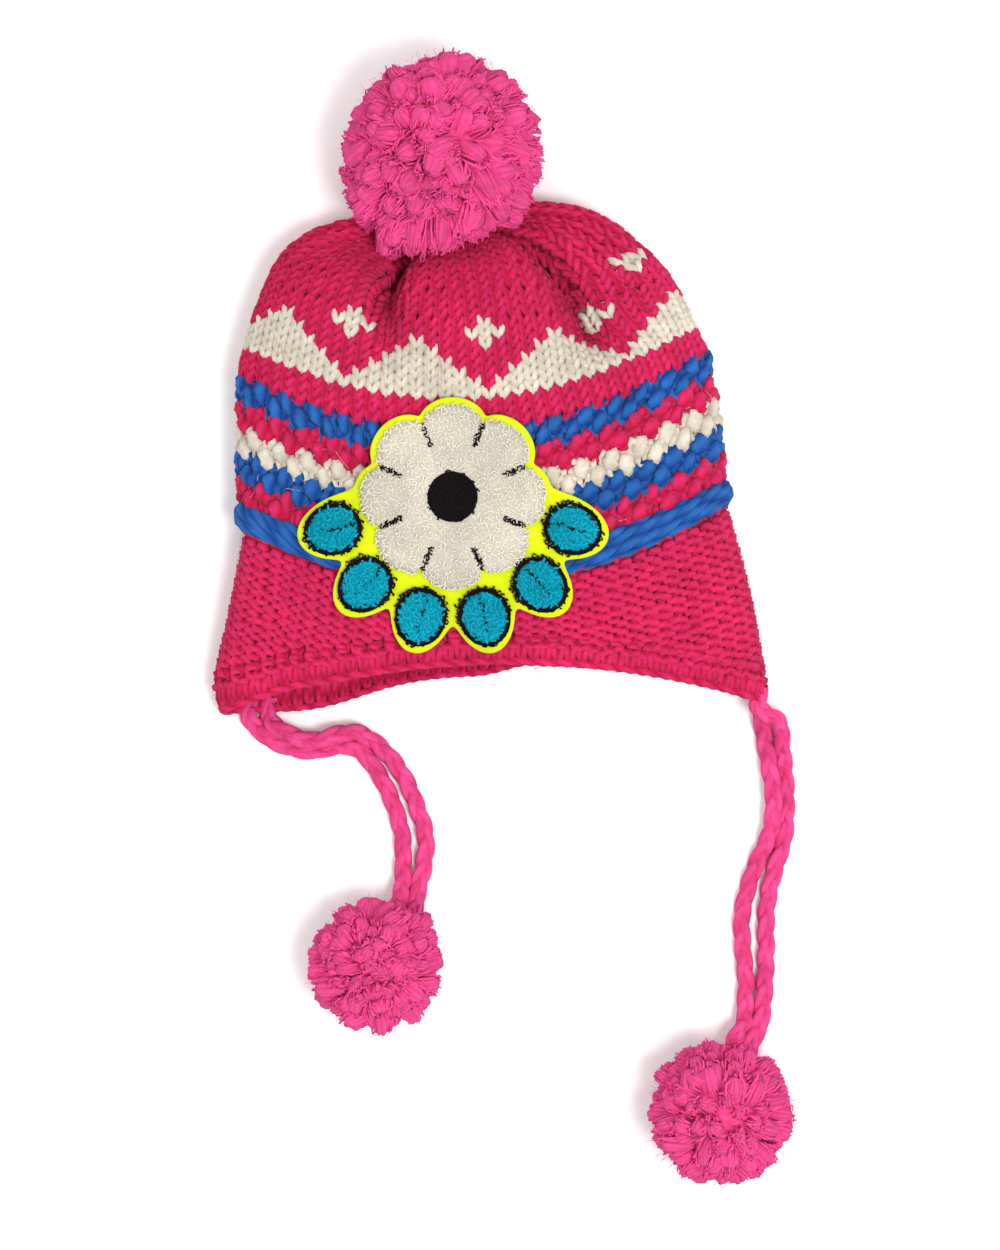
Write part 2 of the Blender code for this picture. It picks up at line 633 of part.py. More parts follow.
def layered_disc(name, outline, inner_share, rings, low, high, front, colour):
    """Build a thin piece that follows the hat's front.

    outline gives X and Y at a share of a turn; an inner share over zero leaves a round hole.
    """
    loops = [inner_share + (1.0 - inner_share) * ring / rings for ring in range(rings + 1)]
    middle = np.mean(outline, axis=0)
    count = len(outline)
    hollow = inner_share > 0.0
    if not hollow:
        loops = loops[1:]
    layers = []
    vertices = []
    for level in (low, high):
        starts = []
        for share in loops:
            starts.append(len(vertices))
            for place in outline:
                x, y = middle + (place - middle) * share
                vertices.append((x, y, front.at(x, y) + level))
        if not hollow:
            starts.append(len(vertices))
            x, y = middle
            vertices.append((x, y, front.at(x, y) + level))
        layers.append(starts)
    faces = []
    for starts in layers:
        for inner, outer in zip(starts, starts[1:len(loops)]):
            for place in range(count):
                after = (place + 1) % count
                faces.append((inner + place, inner + after, outer + after, outer + place))
        if not hollow:
            for place in range(count):
                faces.append((starts[-1], starts[0] + place, starts[0] + (place + 1) % count))
    edges = [len(loops) - 1, 0] if hollow else [len(loops) - 1]
    for edge in edges:
        below, above = layers[0][edge], layers[1][edge]
        for place in range(count):
            after = (place + 1) % count
            faces.append((below + place, below + after, above + after, above + place))
    return object_from_faces(name, vertices, faces, colour)


def round_outline(reach, count):
    """Return an outline round the patch's middle from its reach at each angle."""
    middle = np.array(patch_centre())
    angles = np.arange(count) * 2.0 * math.pi / count
    return np.array([
        middle + reach(angle) * np.array((math.cos(angle), math.sin(angle))) for angle in angles])


def leaf_outline(turn, count):
    """Return one leaf: an ellipse that narrows towards its tip."""
    middle = np.array(patch_centre())
    along = np.array((math.cos(math.radians(turn)), math.sin(math.radians(turn))))
    across = np.array((-along[1], along[0]))
    half_length = 0.5 * (LEAF_TIP - LEAF_ROOT)
    outline = []
    for index in range(count):
        angle = 2.0 * math.pi * index / count
        width = LEAF_HALF_WIDTH * math.sin(angle) * (1.0 - LEAF_NARROWING * math.cos(angle))
        length = 0.5 * (LEAF_TIP + LEAF_ROOT) + half_length * math.cos(angle)
        outline.append(middle + along * length + across * width)
    return np.array(outline)


def sewn_patch():
    """Build the patch: felt base, flower, its dark eye and six leaves."""
    front = FrontHeight()
    felt_low = PATCH_GAP
    felt_high = felt_low + FELT_THICKNESS
    pile_low = felt_high + PILE_GAP
    pile_high = pile_low + PILE_THICKNESS
    layered_disc("patch_felt", round_outline(felt_reach, 48), 0.0, 4, felt_low, felt_high,
                 front, "felt_yellow")
    petals = round_outline(flower_reach, 40)
    layered_disc("patch_petals", petals, FLOWER_HOLE_RADIUS / FLOWER_RADIUS, 3, pile_low,
                 pile_high, front, "cream")
    layered_disc("patch_eye", round_outline(lambda angle: FLOWER_EYE_RADIUS, 16), 0.0, 1,
                 pile_low, pile_high, front, "black")
    for number, turn in enumerate(LEAF_TURNS, start=1):
        layered_disc(f"patch_leaf_{number}", leaf_outline(turn, 16), 0.0, 2, pile_low,
                     pile_high, front, "turquoise")


def main():
    """Build the hat from the hem up, then what is tied and sewn on."""
    clear_scene()
    knitted_section("rib_trim", "hem", "trim_top", 3, TRIM_OUTSIDE, "raspberry")
    knitted_section("earflap_skirt", "trim_top", "blue_low", 5, SKIRT_OUTSIDE, "raspberry")
    knitted_section("lower_blue_band", "blue_low", "blue_top", 2, BAND_OUTSIDE, "blue")
    knitted_section("seed_stripes", "blue_top", "ridge_low", 3, SEED_OUTSIDE, "cream")
    knitted_section("upper_blue_ridge", "ridge_low", "ridge_top", 2, RIDGE_OUTSIDE, "blue")
    knitted_section("triangle_band", "ridge_top", "peaks", 4, CROWN_OUTSIDE, "cream")
    knitted_section("crown", "peaks", "gather", 8, CROWN_OUTSIDE, "raspberry")
    top_pompom()
    sewn_patch()
    for seed, tie in enumerate(TIES, start=11):
        tie_strand(tie, 0)
        tie_strand(tie, 1)
        tie_pompom(tie, seed)


main()
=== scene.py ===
"""Looks of a chunky knitted child's hat with earflaps, pompoms, braided ties and a sewn patch.

The hat lies on its back: its front faces +Z, its crown points along +Y. All yarn is laid out
on one soft surface, worked out from the same table of knitted rounds as the solid model, so
each knitted section sits where its solid is. Sizes are in metres.
"""

from __future__ import annotations

import logging
import math
from dataclasses import dataclass, field
from enum import Enum
from functools import cache
from typing import Callable, NamedTuple

import bpy
import numpy as np
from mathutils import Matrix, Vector
from mathutils.bvhtree import BVHTree

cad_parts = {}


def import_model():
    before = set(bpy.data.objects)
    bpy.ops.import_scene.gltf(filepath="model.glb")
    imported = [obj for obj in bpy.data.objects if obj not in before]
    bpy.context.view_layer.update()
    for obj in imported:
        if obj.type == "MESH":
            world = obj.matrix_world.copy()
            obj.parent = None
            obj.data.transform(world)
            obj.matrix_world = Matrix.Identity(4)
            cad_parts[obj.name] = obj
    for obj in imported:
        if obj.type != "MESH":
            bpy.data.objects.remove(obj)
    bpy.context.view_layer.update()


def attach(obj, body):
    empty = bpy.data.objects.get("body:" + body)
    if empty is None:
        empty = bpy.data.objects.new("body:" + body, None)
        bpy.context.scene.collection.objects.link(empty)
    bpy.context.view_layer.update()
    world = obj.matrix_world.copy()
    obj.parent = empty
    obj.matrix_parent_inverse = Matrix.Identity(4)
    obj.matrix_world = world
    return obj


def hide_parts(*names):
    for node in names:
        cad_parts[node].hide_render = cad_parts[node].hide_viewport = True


LOG = logging.getLogger("beanie")
ROOT = "root"

# The photograph's frame in pixels, and what a pixel measures at the height of the hat's front
PHOTO_WIDTH = 1000
PHOTO_HEIGHT = 1250
METRES_PER_PIXEL = 0.00044
MIDDLE_X_PIXEL = 491.0
MIDDLE_Y_PIXEL = 385.1
FRONT_HEIGHT = 0.025

# Turn between neighbours that keeps them from lining up
GOLDEN_ANGLE = math.pi * (3.0 - math.sqrt(5.0))

# A direction that no yarn of the pompoms follows, to measure sideways from
ASIDE = (0.31, 0.22, 0.93)
UP = (0.0, 0.0, 1.0)

# Factors that scatter the number of a stitch's course, place and series
SCATTER = (127.1, 311.7, 74.7)
SCATTER_SCALE = 43758.5453

# Slow waves of hand knitting: how many go round, and how far they shift yarn up and out
WAVES = 19.0
WAVE_COURSES = 0.05
WAVE_DEPTH = 0.0002

# How much yarn thickens in places, and how much more stitches vary in height and girth than sideways
THICK_PLACES = 0.05
HIGHER = 1.4
FULLER = 1.5

# How much shorter the hem's hidden back is, in rows, and the turns where that starts and ends
HEM_LIFT = 0.45
HEM_LIFT_FROM, HEM_LIFT_FULL = 0.74, 0.79
HEM_LIFT_LESS, HEM_LIFT_TO = 0.93, 0.99

# Least height of a yarn over the floor, and the share of its radius that it keeps above it
FLOOR_GAP = 0.0003
FLOOR_SHARE = 0.9


class Dye(Enum):
    """Colours of the yarns, the felt and the pile, as linear red, green and blue."""

    RASPBERRY = (0.65, 0.023, 0.115)
    PINK = (0.82, 0.074, 0.275)
    BLUE = (0.024, 0.130, 0.43)
    CREAM = (0.86, 0.78, 0.645)
    YELLOW = (0.66, 0.76, 0.008)
    TURQUOISE = (0.002, 0.35, 0.48)
    BLACK = (0.012, 0.008, 0.010)


class Slot(Enum):
    """Names of material slots, one kept on each finish."""

    RASPBERRY_KNIT = "raspberry_knit"
    PINK_YARN = "pink_yarn"
    BLUE_KNIT = "blue_knit"
    CREAM_KNIT = "cream_knit"
    YELLOW_FELT = "yellow_felt"
    CREAM_PILE = "cream_pile"
    TURQUOISE_PILE = "turquoise_pile"
    BLACK_PILE = "black_pile"


class Round(NamedTuple):
    """One knitted round, in shares of the hat's sizes, as in the solid model."""

    name: str
    left: float
    right: float
    up_left: float
    up_front: float
    up_right: float
    up_back: float
    loft: float
    side: float
    lift: float


class Crease(NamedTuple):
    """One gather or crease: its place round the hat, widths, depth and growth."""

    turn: float
    left_width: float
    right_width: float
    depth: float
    starts: str
    full: str
    lean: float


ROUNDS = (
    Round("hem", -0.536, 0.580, -0.006, 0.096, 0.016, 0.070, 0.72, 0.20, 0.00),
    Round("trim_top", -0.541, 0.574, 0.057, 0.144, 0.072, 0.122, 0.80, 0.24, 0.00),
    Round("skirt_middle", -0.508, 0.542, 0.209, 0.197, 0.240, 0.190, 0.92, 0.32, 0.00),
    Round("blue_low", -0.480, 0.497, 0.359, 0.250, 0.411, 0.275, 0.98, 0.38, 0.00),
    Round("blue_top", -0.490, 0.492, 0.421, 0.312, 0.466, 0.335, 1.00, 0.40, 0.00),
    Round("seed_middle", -0.492, 0.482, 0.524, 0.412, 0.575, 0.435, 1.00, 0.41, 0.00),
    Round("ridge_low", -0.492, 0.466, 0.626, 0.513, 0.678, 0.540, 1.00, 0.41, 0.00),
    Round("ridge_top", -0.490, 0.456, 0.684, 0.565, 0.733, 0.590, 1.00, 0.41, 0.00),
    Round("cream_base", -0.480, 0.434, 0.739, 0.630, 0.778, 0.655, 0.99, 0.41, 0.00),
    Round("peaks", -0.446, 0.396, 0.848, 0.760, 0.862, 0.780, 0.96, 0.40, 0.00),
    Round("shoulder", -0.400, 0.338, 0.934, 0.862, 0.934, 0.885, 0.88, 0.38, 0.00),
    Round("brow", -0.315, 0.230, 0.988, 0.934, 1.015, 0.955, 0.68, 0.34, 0.02),
    Round("inner", -0.175, 0.082, 1.008, 0.980, 1.036, 0.990, 0.48, 0.31, 0.07),
    Round("gather", -0.085, -0.020, 1.008, 1.000, 1.012, 1.000, 0.36, 0.28, 0.18),
)
ROUND_AT = {knit_round.name: index for index, knit_round in enumerate(ROUNDS)}

CREASES = (
    Crease(0.346, 0.017, 0.022, 0.46, "cream_base", "shoulder", 0.00),
    Crease(0.368, 0.044, 0.020, 0.22, "peaks", "brow", 0.00),
    Crease(0.110, 0.038, 0.019, 0.48, "cream_base", "peaks", 0.18),
    Crease(0.440, 0.026, 0.026, 0.10, "peaks", "brow", 0.00),
    Crease(0.045, 0.026, 0.026, 0.10, "peaks", "inner", 0.00),
    Crease(0.640, 0.040, 0.040, 0.16, "peaks", "brow", 0.00),
    Crease(0.870, 0.040, 0.040, 0.16, "peaks", "brow", 0.00),
    Crease(0.442, 0.022, 0.030, 0.09, "blue_top", "skirt_middle", 0.00),
)


class Tie(NamedTuple):
    """One tie: where its strands leave the hem, its pompom and its strands' routes."""

    side: str
    exit_turns: tuple[float, float]
    pompom_offset: tuple[float, float]
    pompom_height: float
    pompom_radius: float
    entry_turn: float
    routes: tuple[tuple[tuple[float, float, float], ...], ...]


TIES = (
    Tie(
        "left", (0.540, 0.557), (0.0570, -0.1105), 0.0280, 0.0300, 62.0,
        (
            ((0.0033, -0.0070, 0.0036), (0.0096, -0.0124, 0.0034), (0.0189, -0.0160, 0.0034),
             (0.0283, -0.0172, 0.0034), (0.0410, -0.0150, 0.0034), (0.0498, -0.0178, 0.0034),
             (0.0583, -0.0288, 0.0034), (0.0645, -0.0420, 0.0034), (0.0681, -0.0554, 0.0034),
             (0.0685, -0.0687, 0.0042), (0.0682, -0.0769, 0.0075)),
            ((0.0115, -0.0058, 0.0062), (0.0197, -0.0103, 0.0086), (0.0296, -0.0123, 0.0096),
             (0.0420, -0.0090, 0.0092), (0.0508, -0.0100, 0.0062), (0.0605, -0.0177, 0.0036),
             (0.0687, -0.0288, 0.0034), (0.0745, -0.0420, 0.0034), (0.0785, -0.0554, 0.0034),
             (0.0776, -0.0687, 0.0042), (0.0755, -0.0769, 0.0075)),
        ),
    ),
    Tie(
        "right", (0.993, 0.013), (-0.0185, -0.1800), 0.0305, 0.0325, 70.0,
        (
            ((0.0015, -0.0107, 0.0040), (0.0029, -0.0192, 0.0036), (0.0045, -0.0289, 0.0060),
             (0.0061, -0.0399, 0.0080), (0.0061, -0.0510, 0.0080), (0.0041, -0.0614, 0.0056),
             (-0.0007, -0.0723, 0.0036), (-0.0047, -0.0839, 0.0034), (-0.0074, -0.0968, 0.0034),
             (-0.0069, -0.1116, 0.0034), (-0.0056, -0.1250, 0.0036), (-0.0061, -0.1360, 0.0056),
             (-0.0068, -0.1440, 0.0095)),
            ((0.0088, -0.0097, 0.0080), (0.0104, -0.0191, 0.0040), (0.0114, -0.0290, 0.0034),
             (0.0123, -0.0401, 0.0034), (0.0123, -0.0513, 0.0034), (0.0114, -0.0616, 0.0034),
             (0.0083, -0.0723, 0.0034), (0.0051, -0.0839, 0.0034), (0.0034, -0.0968, 0.0034),
             (0.0034, -0.1116, 0.0034), (0.0029, -0.1250, 0.0036), (0.0018, -0.1360, 0.0056),
             (0.0002, -0.1440, 0.0095)),
        ),
    ),
)


def smooth_step(value: np.ndarray) -> np.ndarray:
    """Return numbers eased from 0 to 1, and held there outside that range."""
    held = np.clip(value, 0.0, 1.0)
    return held * held * (3.0 - 2.0 * held)


def unit(vectors: np.ndarray) -> np.ndarray:
    """Return vectors, held by the last axis, scaled to a length of one."""
    return vectors / np.maximum(np.linalg.norm(vectors, axis=-1, keepdims=True), 1e-12)


def circle(angles: np.ndarray) -> np.ndarray:
    """Return X and Y of the points at given angles on a circle of radius one."""
    return np.column_stack((np.cos(angles), np.sin(angles)))


def curve_point(knots: np.ndarray, part: float) -> np.ndarray:
    """Return a point of a smooth curve that runs through four knots.

    Args:
        knots: The knots, one row each.
        part: Place between the second knot, at 0, and the third, at 1.

    Returns:
        The point.
    """
    before, here, after, beyond = knots
    bend = 2.0 * before - 5.0 * here + 4.0 * after - beyond
    turn = 3.0 * (here - after) + beyond - before
    return here + 0.5 * part * (after - before + part * (bend + part * turn))


def distances_along(line: np.ndarray) -> np.ndarray:
    """Return how far along a line of points each of them lies."""
    return np.concatenate(((0.0,), np.cumsum(np.linalg.norm(np.diff(line, axis=0), axis=1))))


def respaced(line: np.ndarray, wanted: np.ndarray) -> np.ndarray:
    """Return the points at wanted distances along a line of points."""
    walked = distances_along(line)
    return np.column_stack([np.interp(wanted, walked, column) for column in line.T])


@dataclass
class HatSurface:
    """The middle of the hat's fabric: one soft surface, sampled on a fine grid.

    A place on it is a row (0 at the hem, one for each named round) and a turn (0 at the right
    side, 0.25 at the front's middle, 0.5 at the left side, 0.75 at the back's middle).
    """

    body_width: float = 0.2190
    hat_length: float = 0.2145
    loft: float = 0.0510
    centre_line_x: float = -0.0042
    tip_line_y: float = -0.1420
    fabric_inside: float = 0.0025
    crown_outside: float = 0.0025
    pompom_seat: float = 0.0345
    pompom_lean: tuple[float, float, float] = (-0.146, 0.703, 0.697)
    press_softness: float = 0.0015
    front_squareness: float = 0.80
    back_squareness: float = 0.50
    hem_drop_at: float = -0.66
    hem_drop_spread: float = 0.26
    hem_drop: float = 0.034
    rows_per_round: int = 20
    turn_samples: int = 720
    points: np.ndarray = field(init=False, repr=False)
    normals: np.ndarray = field(init=False, repr=False)
    lengths: np.ndarray = field(init=False, repr=False)

    def __post_init__(self) -> None:
        """Work out the grid of points, outward directions and lengths from the hem."""
        last = len(ROUNDS) - 1
        rows = np.linspace(0.0, last, last * self.rows_per_round + 1)
        base = np.array([self._plain_round(row) for row in rows])
        creased = self._creased(base, rows)
        creased[:, :, 2] = np.maximum(creased[:, :, 2], self.fabric_inside)
        self.points = self._pressed(creased)
        self.normals = self._outward(self.points)
        steps = np.linalg.norm(np.diff(self.points, axis=0), axis=2)
        self.lengths = np.vstack((np.zeros((1, self.turn_samples)), np.cumsum(steps, axis=0)))
        self.rows = rows

    def gather_point(self) -> np.ndarray:
        """Find where the crown is drawn together.

        Returns:
            The middle of the gathers.
        """
        last = ROUNDS[-1]
        up = 0.25 * (last.up_left + last.up_right + last.up_front + last.up_back)
        return np.array((
            self.centre_line_x + 0.5 * (last.left + last.right) * self.body_width,
            self.tip_line_y + up * self.hat_length,
            last.side * self.loft,
        ))

    def pompom_centre(self) -> np.ndarray:
        """Return the middle of the top pompom."""
        lean = unit(np.array(self.pompom_lean))
        return self.gather_point() + lean * (self.pompom_seat + self.crown_outside)

    @staticmethod
    def _round_at(row: float) -> Round:
        """Return the round at a fractional row, on a smooth curve through the table.

        Args:
            row: Place in the table, with 0 at the hem.

        Returns:
            The sizes of the round there.
        """
        last = len(ROUNDS) - 1
        start = int(min(max(math.floor(row), 0), last - 1))
        knots = [ROUNDS[min(max(start + step, 0), last)][1:] for step in (-1, 0, 1, 2)]
        return Round("between", *curve_point(np.array(knots), row - start))

    def _plain_round(self, row: float) -> np.ndarray:
        """Return one round without creases, its points evenly spaced along it.

        Args:
            row: Place in the table of rounds.

        Returns:
            Points of the round, one for each sampled turn.
        """
        here = self._round_at(row)
        angles = np.linspace(0.0, math.tau, self.turn_samples, endpoint=False)
        cosines, sines = np.cos(angles), np.sin(angles)
        front = sines >= 0.0
        power = np.where(front, self.front_squareness, self.back_squareness)
        across = np.sign(cosines) * np.abs(cosines) ** power
        rise = np.abs(sines) ** power
        left = here.left * self.body_width + self.fabric_inside
        right = here.right * self.body_width - self.fabric_inside
        x = self.centre_line_x + 0.5 * (left + right) + 0.5 * (right - left) * across
        sides = 0.5 * (here.up_left + here.up_right)
        tilt = 0.5 * (here.up_right - here.up_left)
        middle = np.where(front, here.up_front, here.up_back)
        up = sides + tilt * across + (middle - sides) * (1.0 - across ** 2)
        hem_share = min(max(1.0 - row / ROUND_AT["blue_low"], 0.0), 1.0)
        drop = np.exp(-((across - self.hem_drop_at) / self.hem_drop_spread) ** 2)
        drop = self.hem_drop * hem_share * drop * smooth_step(rise * 2.0)
        up = up - np.where(front, 0.0, drop)
        y = self.tip_line_y + up * self.hat_length
        top = here.loft * self.loft - self.crown_outside
        bottom = here.lift * self.loft + self.fabric_inside
        side = here.side * self.loft
        z = np.where(front, side + (top - side) * rise, side - (side - bottom) * rise)
        loop = np.column_stack((x, y, z))
        closed = np.vstack((loop, loop[:1]))
        shares = np.arange(self.turn_samples) / self.turn_samples
        return respaced(closed, shares * distances_along(closed)[-1])

    def _outward(self, grid: np.ndarray) -> np.ndarray:
        """Return the directions that face out of the hat.

        Args:
            grid: Points, by rows and turns.

        Returns:
            One unit vector for each point.
        """
        along = np.gradient(grid, axis=0)
        across = np.roll(grid, -1, axis=1) - np.roll(grid, 1, axis=1)
        return unit(-np.cross(across, along))

    def _creased(self, grid: np.ndarray, rows: np.ndarray) -> np.ndarray:
        """Draw the gathers and creases into the fabric.

        Args:
            grid: Points without creases.
            rows: The row of each line of the grid.

        Returns:
            The creased points.
        """
        normals = self._outward(grid)
        tangents = unit(np.roll(grid, -1, axis=1) - np.roll(grid, 1, axis=1))
        turns = np.arange(self.turn_samples) / self.turn_samples
        points = grid.copy()
        for crease in CREASES:
            starts, full = ROUND_AT[crease.starts], ROUND_AT[crease.full]
            grown = smooth_step((rows - starts) / (full - starts))[:, None]
            offset = np.mod(turns - crease.turn + 0.5, 1.0) - 0.5
            width = np.where(offset > 0.0, crease.left_width, crease.right_width)
            dent = grown * crease.depth * self.loft * np.exp(-(offset / width) ** 2)
            beside = np.exp(-((offset + 1.5 * crease.right_width) / crease.left_width) ** 2)
            points = points - normals * dent[:, :, None]
            points = points + tangents * (grown * crease.lean * self.loft * beside)[:, :, None]
        return points

    def _pressed(self, grid: np.ndarray) -> np.ndarray:
        """Hollow the crown where the top pompom presses it.

        Args:
            grid: Points before the pompom is tied on.

        Returns:
            The pressed points.
        """
        away = grid - self.pompom_centre()
        reach = np.linalg.norm(away, axis=2)
        seat = self.pompom_seat + self.crown_outside
        pushed = 0.5 * (reach + seat + np.sqrt((reach - seat) ** 2 + self.press_softness ** 2))
        return self.pompom_centre() + away * (pushed / reach)[:, :, None]

    def _samples_beside(self, turns: np.ndarray) -> tuple[np.ndarray, np.ndarray, np.ndarray]:
        """Find the samples on either side of turns.

        Args:
            turns: The turns.

        Returns:
            The sample before each, the one after it and how far the turn lies between them.
        """
        spun = np.mod(turns, 1.0) * self.turn_samples
        first = np.floor(spun).astype(int) % self.turn_samples
        return first, (first + 1) % self.turn_samples, spun - np.floor(spun)

    def place(self, rows: np.ndarray, turns: np.ndarray) -> tuple[np.ndarray, np.ndarray]:
        """Find places on the surface.

        Args:
            rows: Row of each place.
            turns: Turn of each place, in an array of the same shape.

        Returns:
            The points and their outward directions.
        """
        last = len(self.rows) - 2
        walked = np.clip(rows * self.rows_per_round, 0.0, last + 1.0)
        row = np.minimum(np.floor(walked).astype(int), last)
        row_part = (walked - row)[..., None]
        first, second, part = self._samples_beside(turns)
        part = part[..., None]
        found = []
        for grid in (self.points, self.normals):
            low = grid[row, first] * (1 - part) + grid[row, second] * part
            high = grid[row + 1, first] * (1 - part) + grid[row + 1, second] * part
            found.append(low * (1 - row_part) + high * row_part)
        return found[0], unit(found[1])

    def stitch_width(self, rows: np.ndarray, turns: np.ndarray, stitches: int) -> np.ndarray:
        """Return the width at places of a stitch, where so many stitches go round the hat."""
        sides = [self.place(rows, turns + half / stitches)[0] for half in (-0.5, 0.5)]
        return np.linalg.norm(sides[1] - sides[0], axis=-1)

    def even_rows(self, low: str, high: str, courses: int) -> Callable:
        """Space courses evenly between two named rounds.

        Args:
            low: Name of the round at the bottom.
            high: Name of the round at the top.
            courses: How many courses lie between them.

        Returns:
            A function that gives the row of a fractional course at given turns.
        """
        mean = self.lengths.mean(axis=1)
        ends = np.interp((ROUND_AT[low], ROUND_AT[high]), self.rows, mean)

        def row_of(course: np.ndarray, turns: np.ndarray) -> np.ndarray:
            """Return the rows of courses counted up from the low round."""
            wanted = ends[0] + (ends[1] - ends[0]) * np.asarray(course) / courses
            return np.interp(wanted, mean, self.rows) + 0.0 * turns

        return row_of

    def rows_down(self, high: str, pitch: float, deepest: float) -> Callable:
        """Space courses by length down from a named round, all of one height.

        Args:
            high: Name of the round that the courses hang from.
            pitch: Height of a course, in metres.
            deepest: How far down the table of lengths reaches, in metres.

        Returns:
            A function that gives the row of a fractional course at given turns.
        """
        steps = 160
        distances = np.linspace(-0.01, deepest, steps)
        start = self.lengths[ROUND_AT[high] * self.rows_per_round]
        table = np.array([
            np.interp(start[turn] - distances, self.lengths[:, turn], self.rows)
            for turn in range(self.turn_samples)
        ])

        def row_of(course: np.ndarray, turns: np.ndarray) -> np.ndarray:
            """Find the rows of courses counted down from the high round.

            Args:
                course: The courses, whole or not.
                turns: The turn at which each is wanted.

            Returns:
                The rows.
            """
            down = np.clip(np.asarray(course) * pitch, distances[0], deepest - 1e-6)
            at = (down - distances[0]) / (distances[-1] - distances[0]) * (steps - 1)
            step = np.clip(np.floor(at).astype(int), 0, steps - 2)
            first, second, side = self._samples_beside(turns)
            here, there = (table[turn, step] * (1 - at + step) + table[turn, step + 1] * (at - step)
                           for turn in (first, second))
            return here * (1 - side) + there * side

        return row_of


@dataclass
class YarnMesh:
    """Gathers round yarns and turns them into one smooth mesh with a lengthwise UV map."""

    name: str
    sides: int = 6
    corners: list[np.ndarray] = field(default_factory=list)
    quads: list[np.ndarray] = field(default_factory=list)
    maps: list[np.ndarray] = field(default_factory=list)
    count: int = 0

    def add(self, centres: np.ndarray, ups: np.ndarray, radii: np.ndarray,
            joined: bool = False, flatten: float = 1.0, ragged: float = 0.0) -> None:
        """Add yarns that all have the same number of points.

        Args:
            centres: Points of each yarn's middle, by yarns and points.
            ups: A direction beside each point, or beside each yarn, that isn't along the yarn.
            radii: Radius at each point.
            joined: Whether the first and last point of a yarn only give its directions there,
                because the yarn goes on in the next one.
            flatten: Thickness along the up direction, as a share of the width.
            ragged: How far the section is from round, as a share of the radius.
        """
        tangents = unit(np.gradient(centres, axis=1))
        ups = np.broadcast_to(ups, centres.shape)
        if joined:
            centres, ups, radii = centres[:, 1:-1], ups[:, 1:-1], radii[:, 1:-1]
            tangents = tangents[:, 1:-1]
        sideways = unit(np.cross(tangents, ups))
        upright = np.cross(sideways, tangents)
        yarns, points = centres.shape[:2]
        angles = np.arange(self.sides) * math.tau / self.sides
        ring = (
            sideways[:, :, None, :] * np.cos(angles)[None, None, :, None]
            + upright[:, :, None, :] * (flatten * np.sin(angles))[None, None, :, None]
        )
        spin = GOLDEN_ANGLE * np.arange(yarns)[:, None, None]
        climb = np.arange(points)[None, :, None]
        lobes = (0.6 * np.sin(3.0 * angles + spin + 0.35 * climb)
                 + 0.4 * np.sin(5.0 * angles - 2.0 * spin + 0.60 * climb))
        reach = radii[:, :, None] * (1.0 + ragged * lobes)
        corners = centres[:, :, None, :] + ring * reach[..., None]
        index = np.arange(yarns * points * self.sides).reshape(yarns, points, self.sides)
        index = index + self.count
        after = np.roll(index, -1, axis=2)
        quads = np.stack((index[:, :-1], after[:, :-1], after[:, 1:], index[:, 1:]), axis=-1)
        steps = np.linalg.norm(np.diff(centres, axis=1), axis=2)
        walked = np.concatenate((np.zeros((yarns, 1)), np.cumsum(steps, axis=1)), axis=1)
        along = np.broadcast_to(walked[:, :, None], (yarns, points, self.sides))
        around = np.broadcast_to(np.arange(self.sides) / self.sides, (yarns, points, self.sides))
        step = 1.0 / self.sides
        low = np.stack((along[:, :-1], around[:, :-1]), axis=-1)
        high = np.stack((along[:, 1:], around[:, 1:]), axis=-1)
        beside = np.array((0.0, step))
        maps = np.stack((low, low + beside, high + beside, high), axis=-2)
        self.corners.append(corners.reshape(-1, 3))
        self.quads.append(quads.reshape(-1, 4))
        self.maps.append(maps.reshape(-1, 2))
        self.count += yarns * points * self.sides

    def build(self, finish: YarnFinish, *nodes: str) -> bpy.types.Object:
        """Make the mesh object and let it take its place on the hat.

        Args:
            finish: The finish of the whole mesh.
            nodes: Nodes of the solid model that it stands for.

        Returns:
            The new object, linked to the scene.
        """
        mesh = mesh_from_arrays(
            self.name, np.concatenate(self.corners), np.concatenate(self.quads))
        layer = mesh.uv_layers.new(name="yarn")
        layer.data.foreach_set("uv", np.concatenate(self.maps).astype(np.float32).ravel())
        return take_on(self.name, mesh, (finish,), *nodes)


def mesh_from_arrays(name: str, corners: np.ndarray, quads: np.ndarray) -> bpy.types.Mesh:
    """Make a smooth-shaded mesh from arrays.

    Args:
        name: Name of the mesh.
        corners: Vertices, one row each.
        quads: Four vertex numbers for each face.

    Returns:
        The new mesh.
    """
    mesh = bpy.data.meshes.new(name)
    mesh.vertices.add(len(corners))
    mesh.vertices.foreach_set("co", corners.astype(np.float32).ravel())
    mesh.loops.add(quads.size)
    mesh.loops.foreach_set("vertex_index", quads.astype(np.int32).ravel())
    mesh.polygons.add(len(quads))
    mesh.polygons.foreach_set("loop_start", np.arange(len(quads), dtype=np.int32) * 4)
    mesh.update(calc_edges=True)
    mesh.shade_smooth()
    return mesh


def ringed_mesh(name: str, rings: np.ndarray, turned: bool = False) -> bpy.types.Mesh:
    """Make a mesh of closed rings, each joined to the next.

    Args:
        name: Name of the mesh.
        rings: Points, by rings and places round them.
        turned: Whether the faces look the other way.

    Returns:
        The new mesh.
    """
    index = np.arange(rings.shape[0] * rings.shape[1]).reshape(rings.shape[:2])
    after = np.roll(index, -1, axis=1)
    quads = np.stack((index[:-1], after[:-1], after[1:], index[1:]), axis=-1).reshape(-1, 4)
    return mesh_from_arrays(name, rings.reshape(-1, 3), quads[:, (0, 3, 2, 1)] if turned else quads)


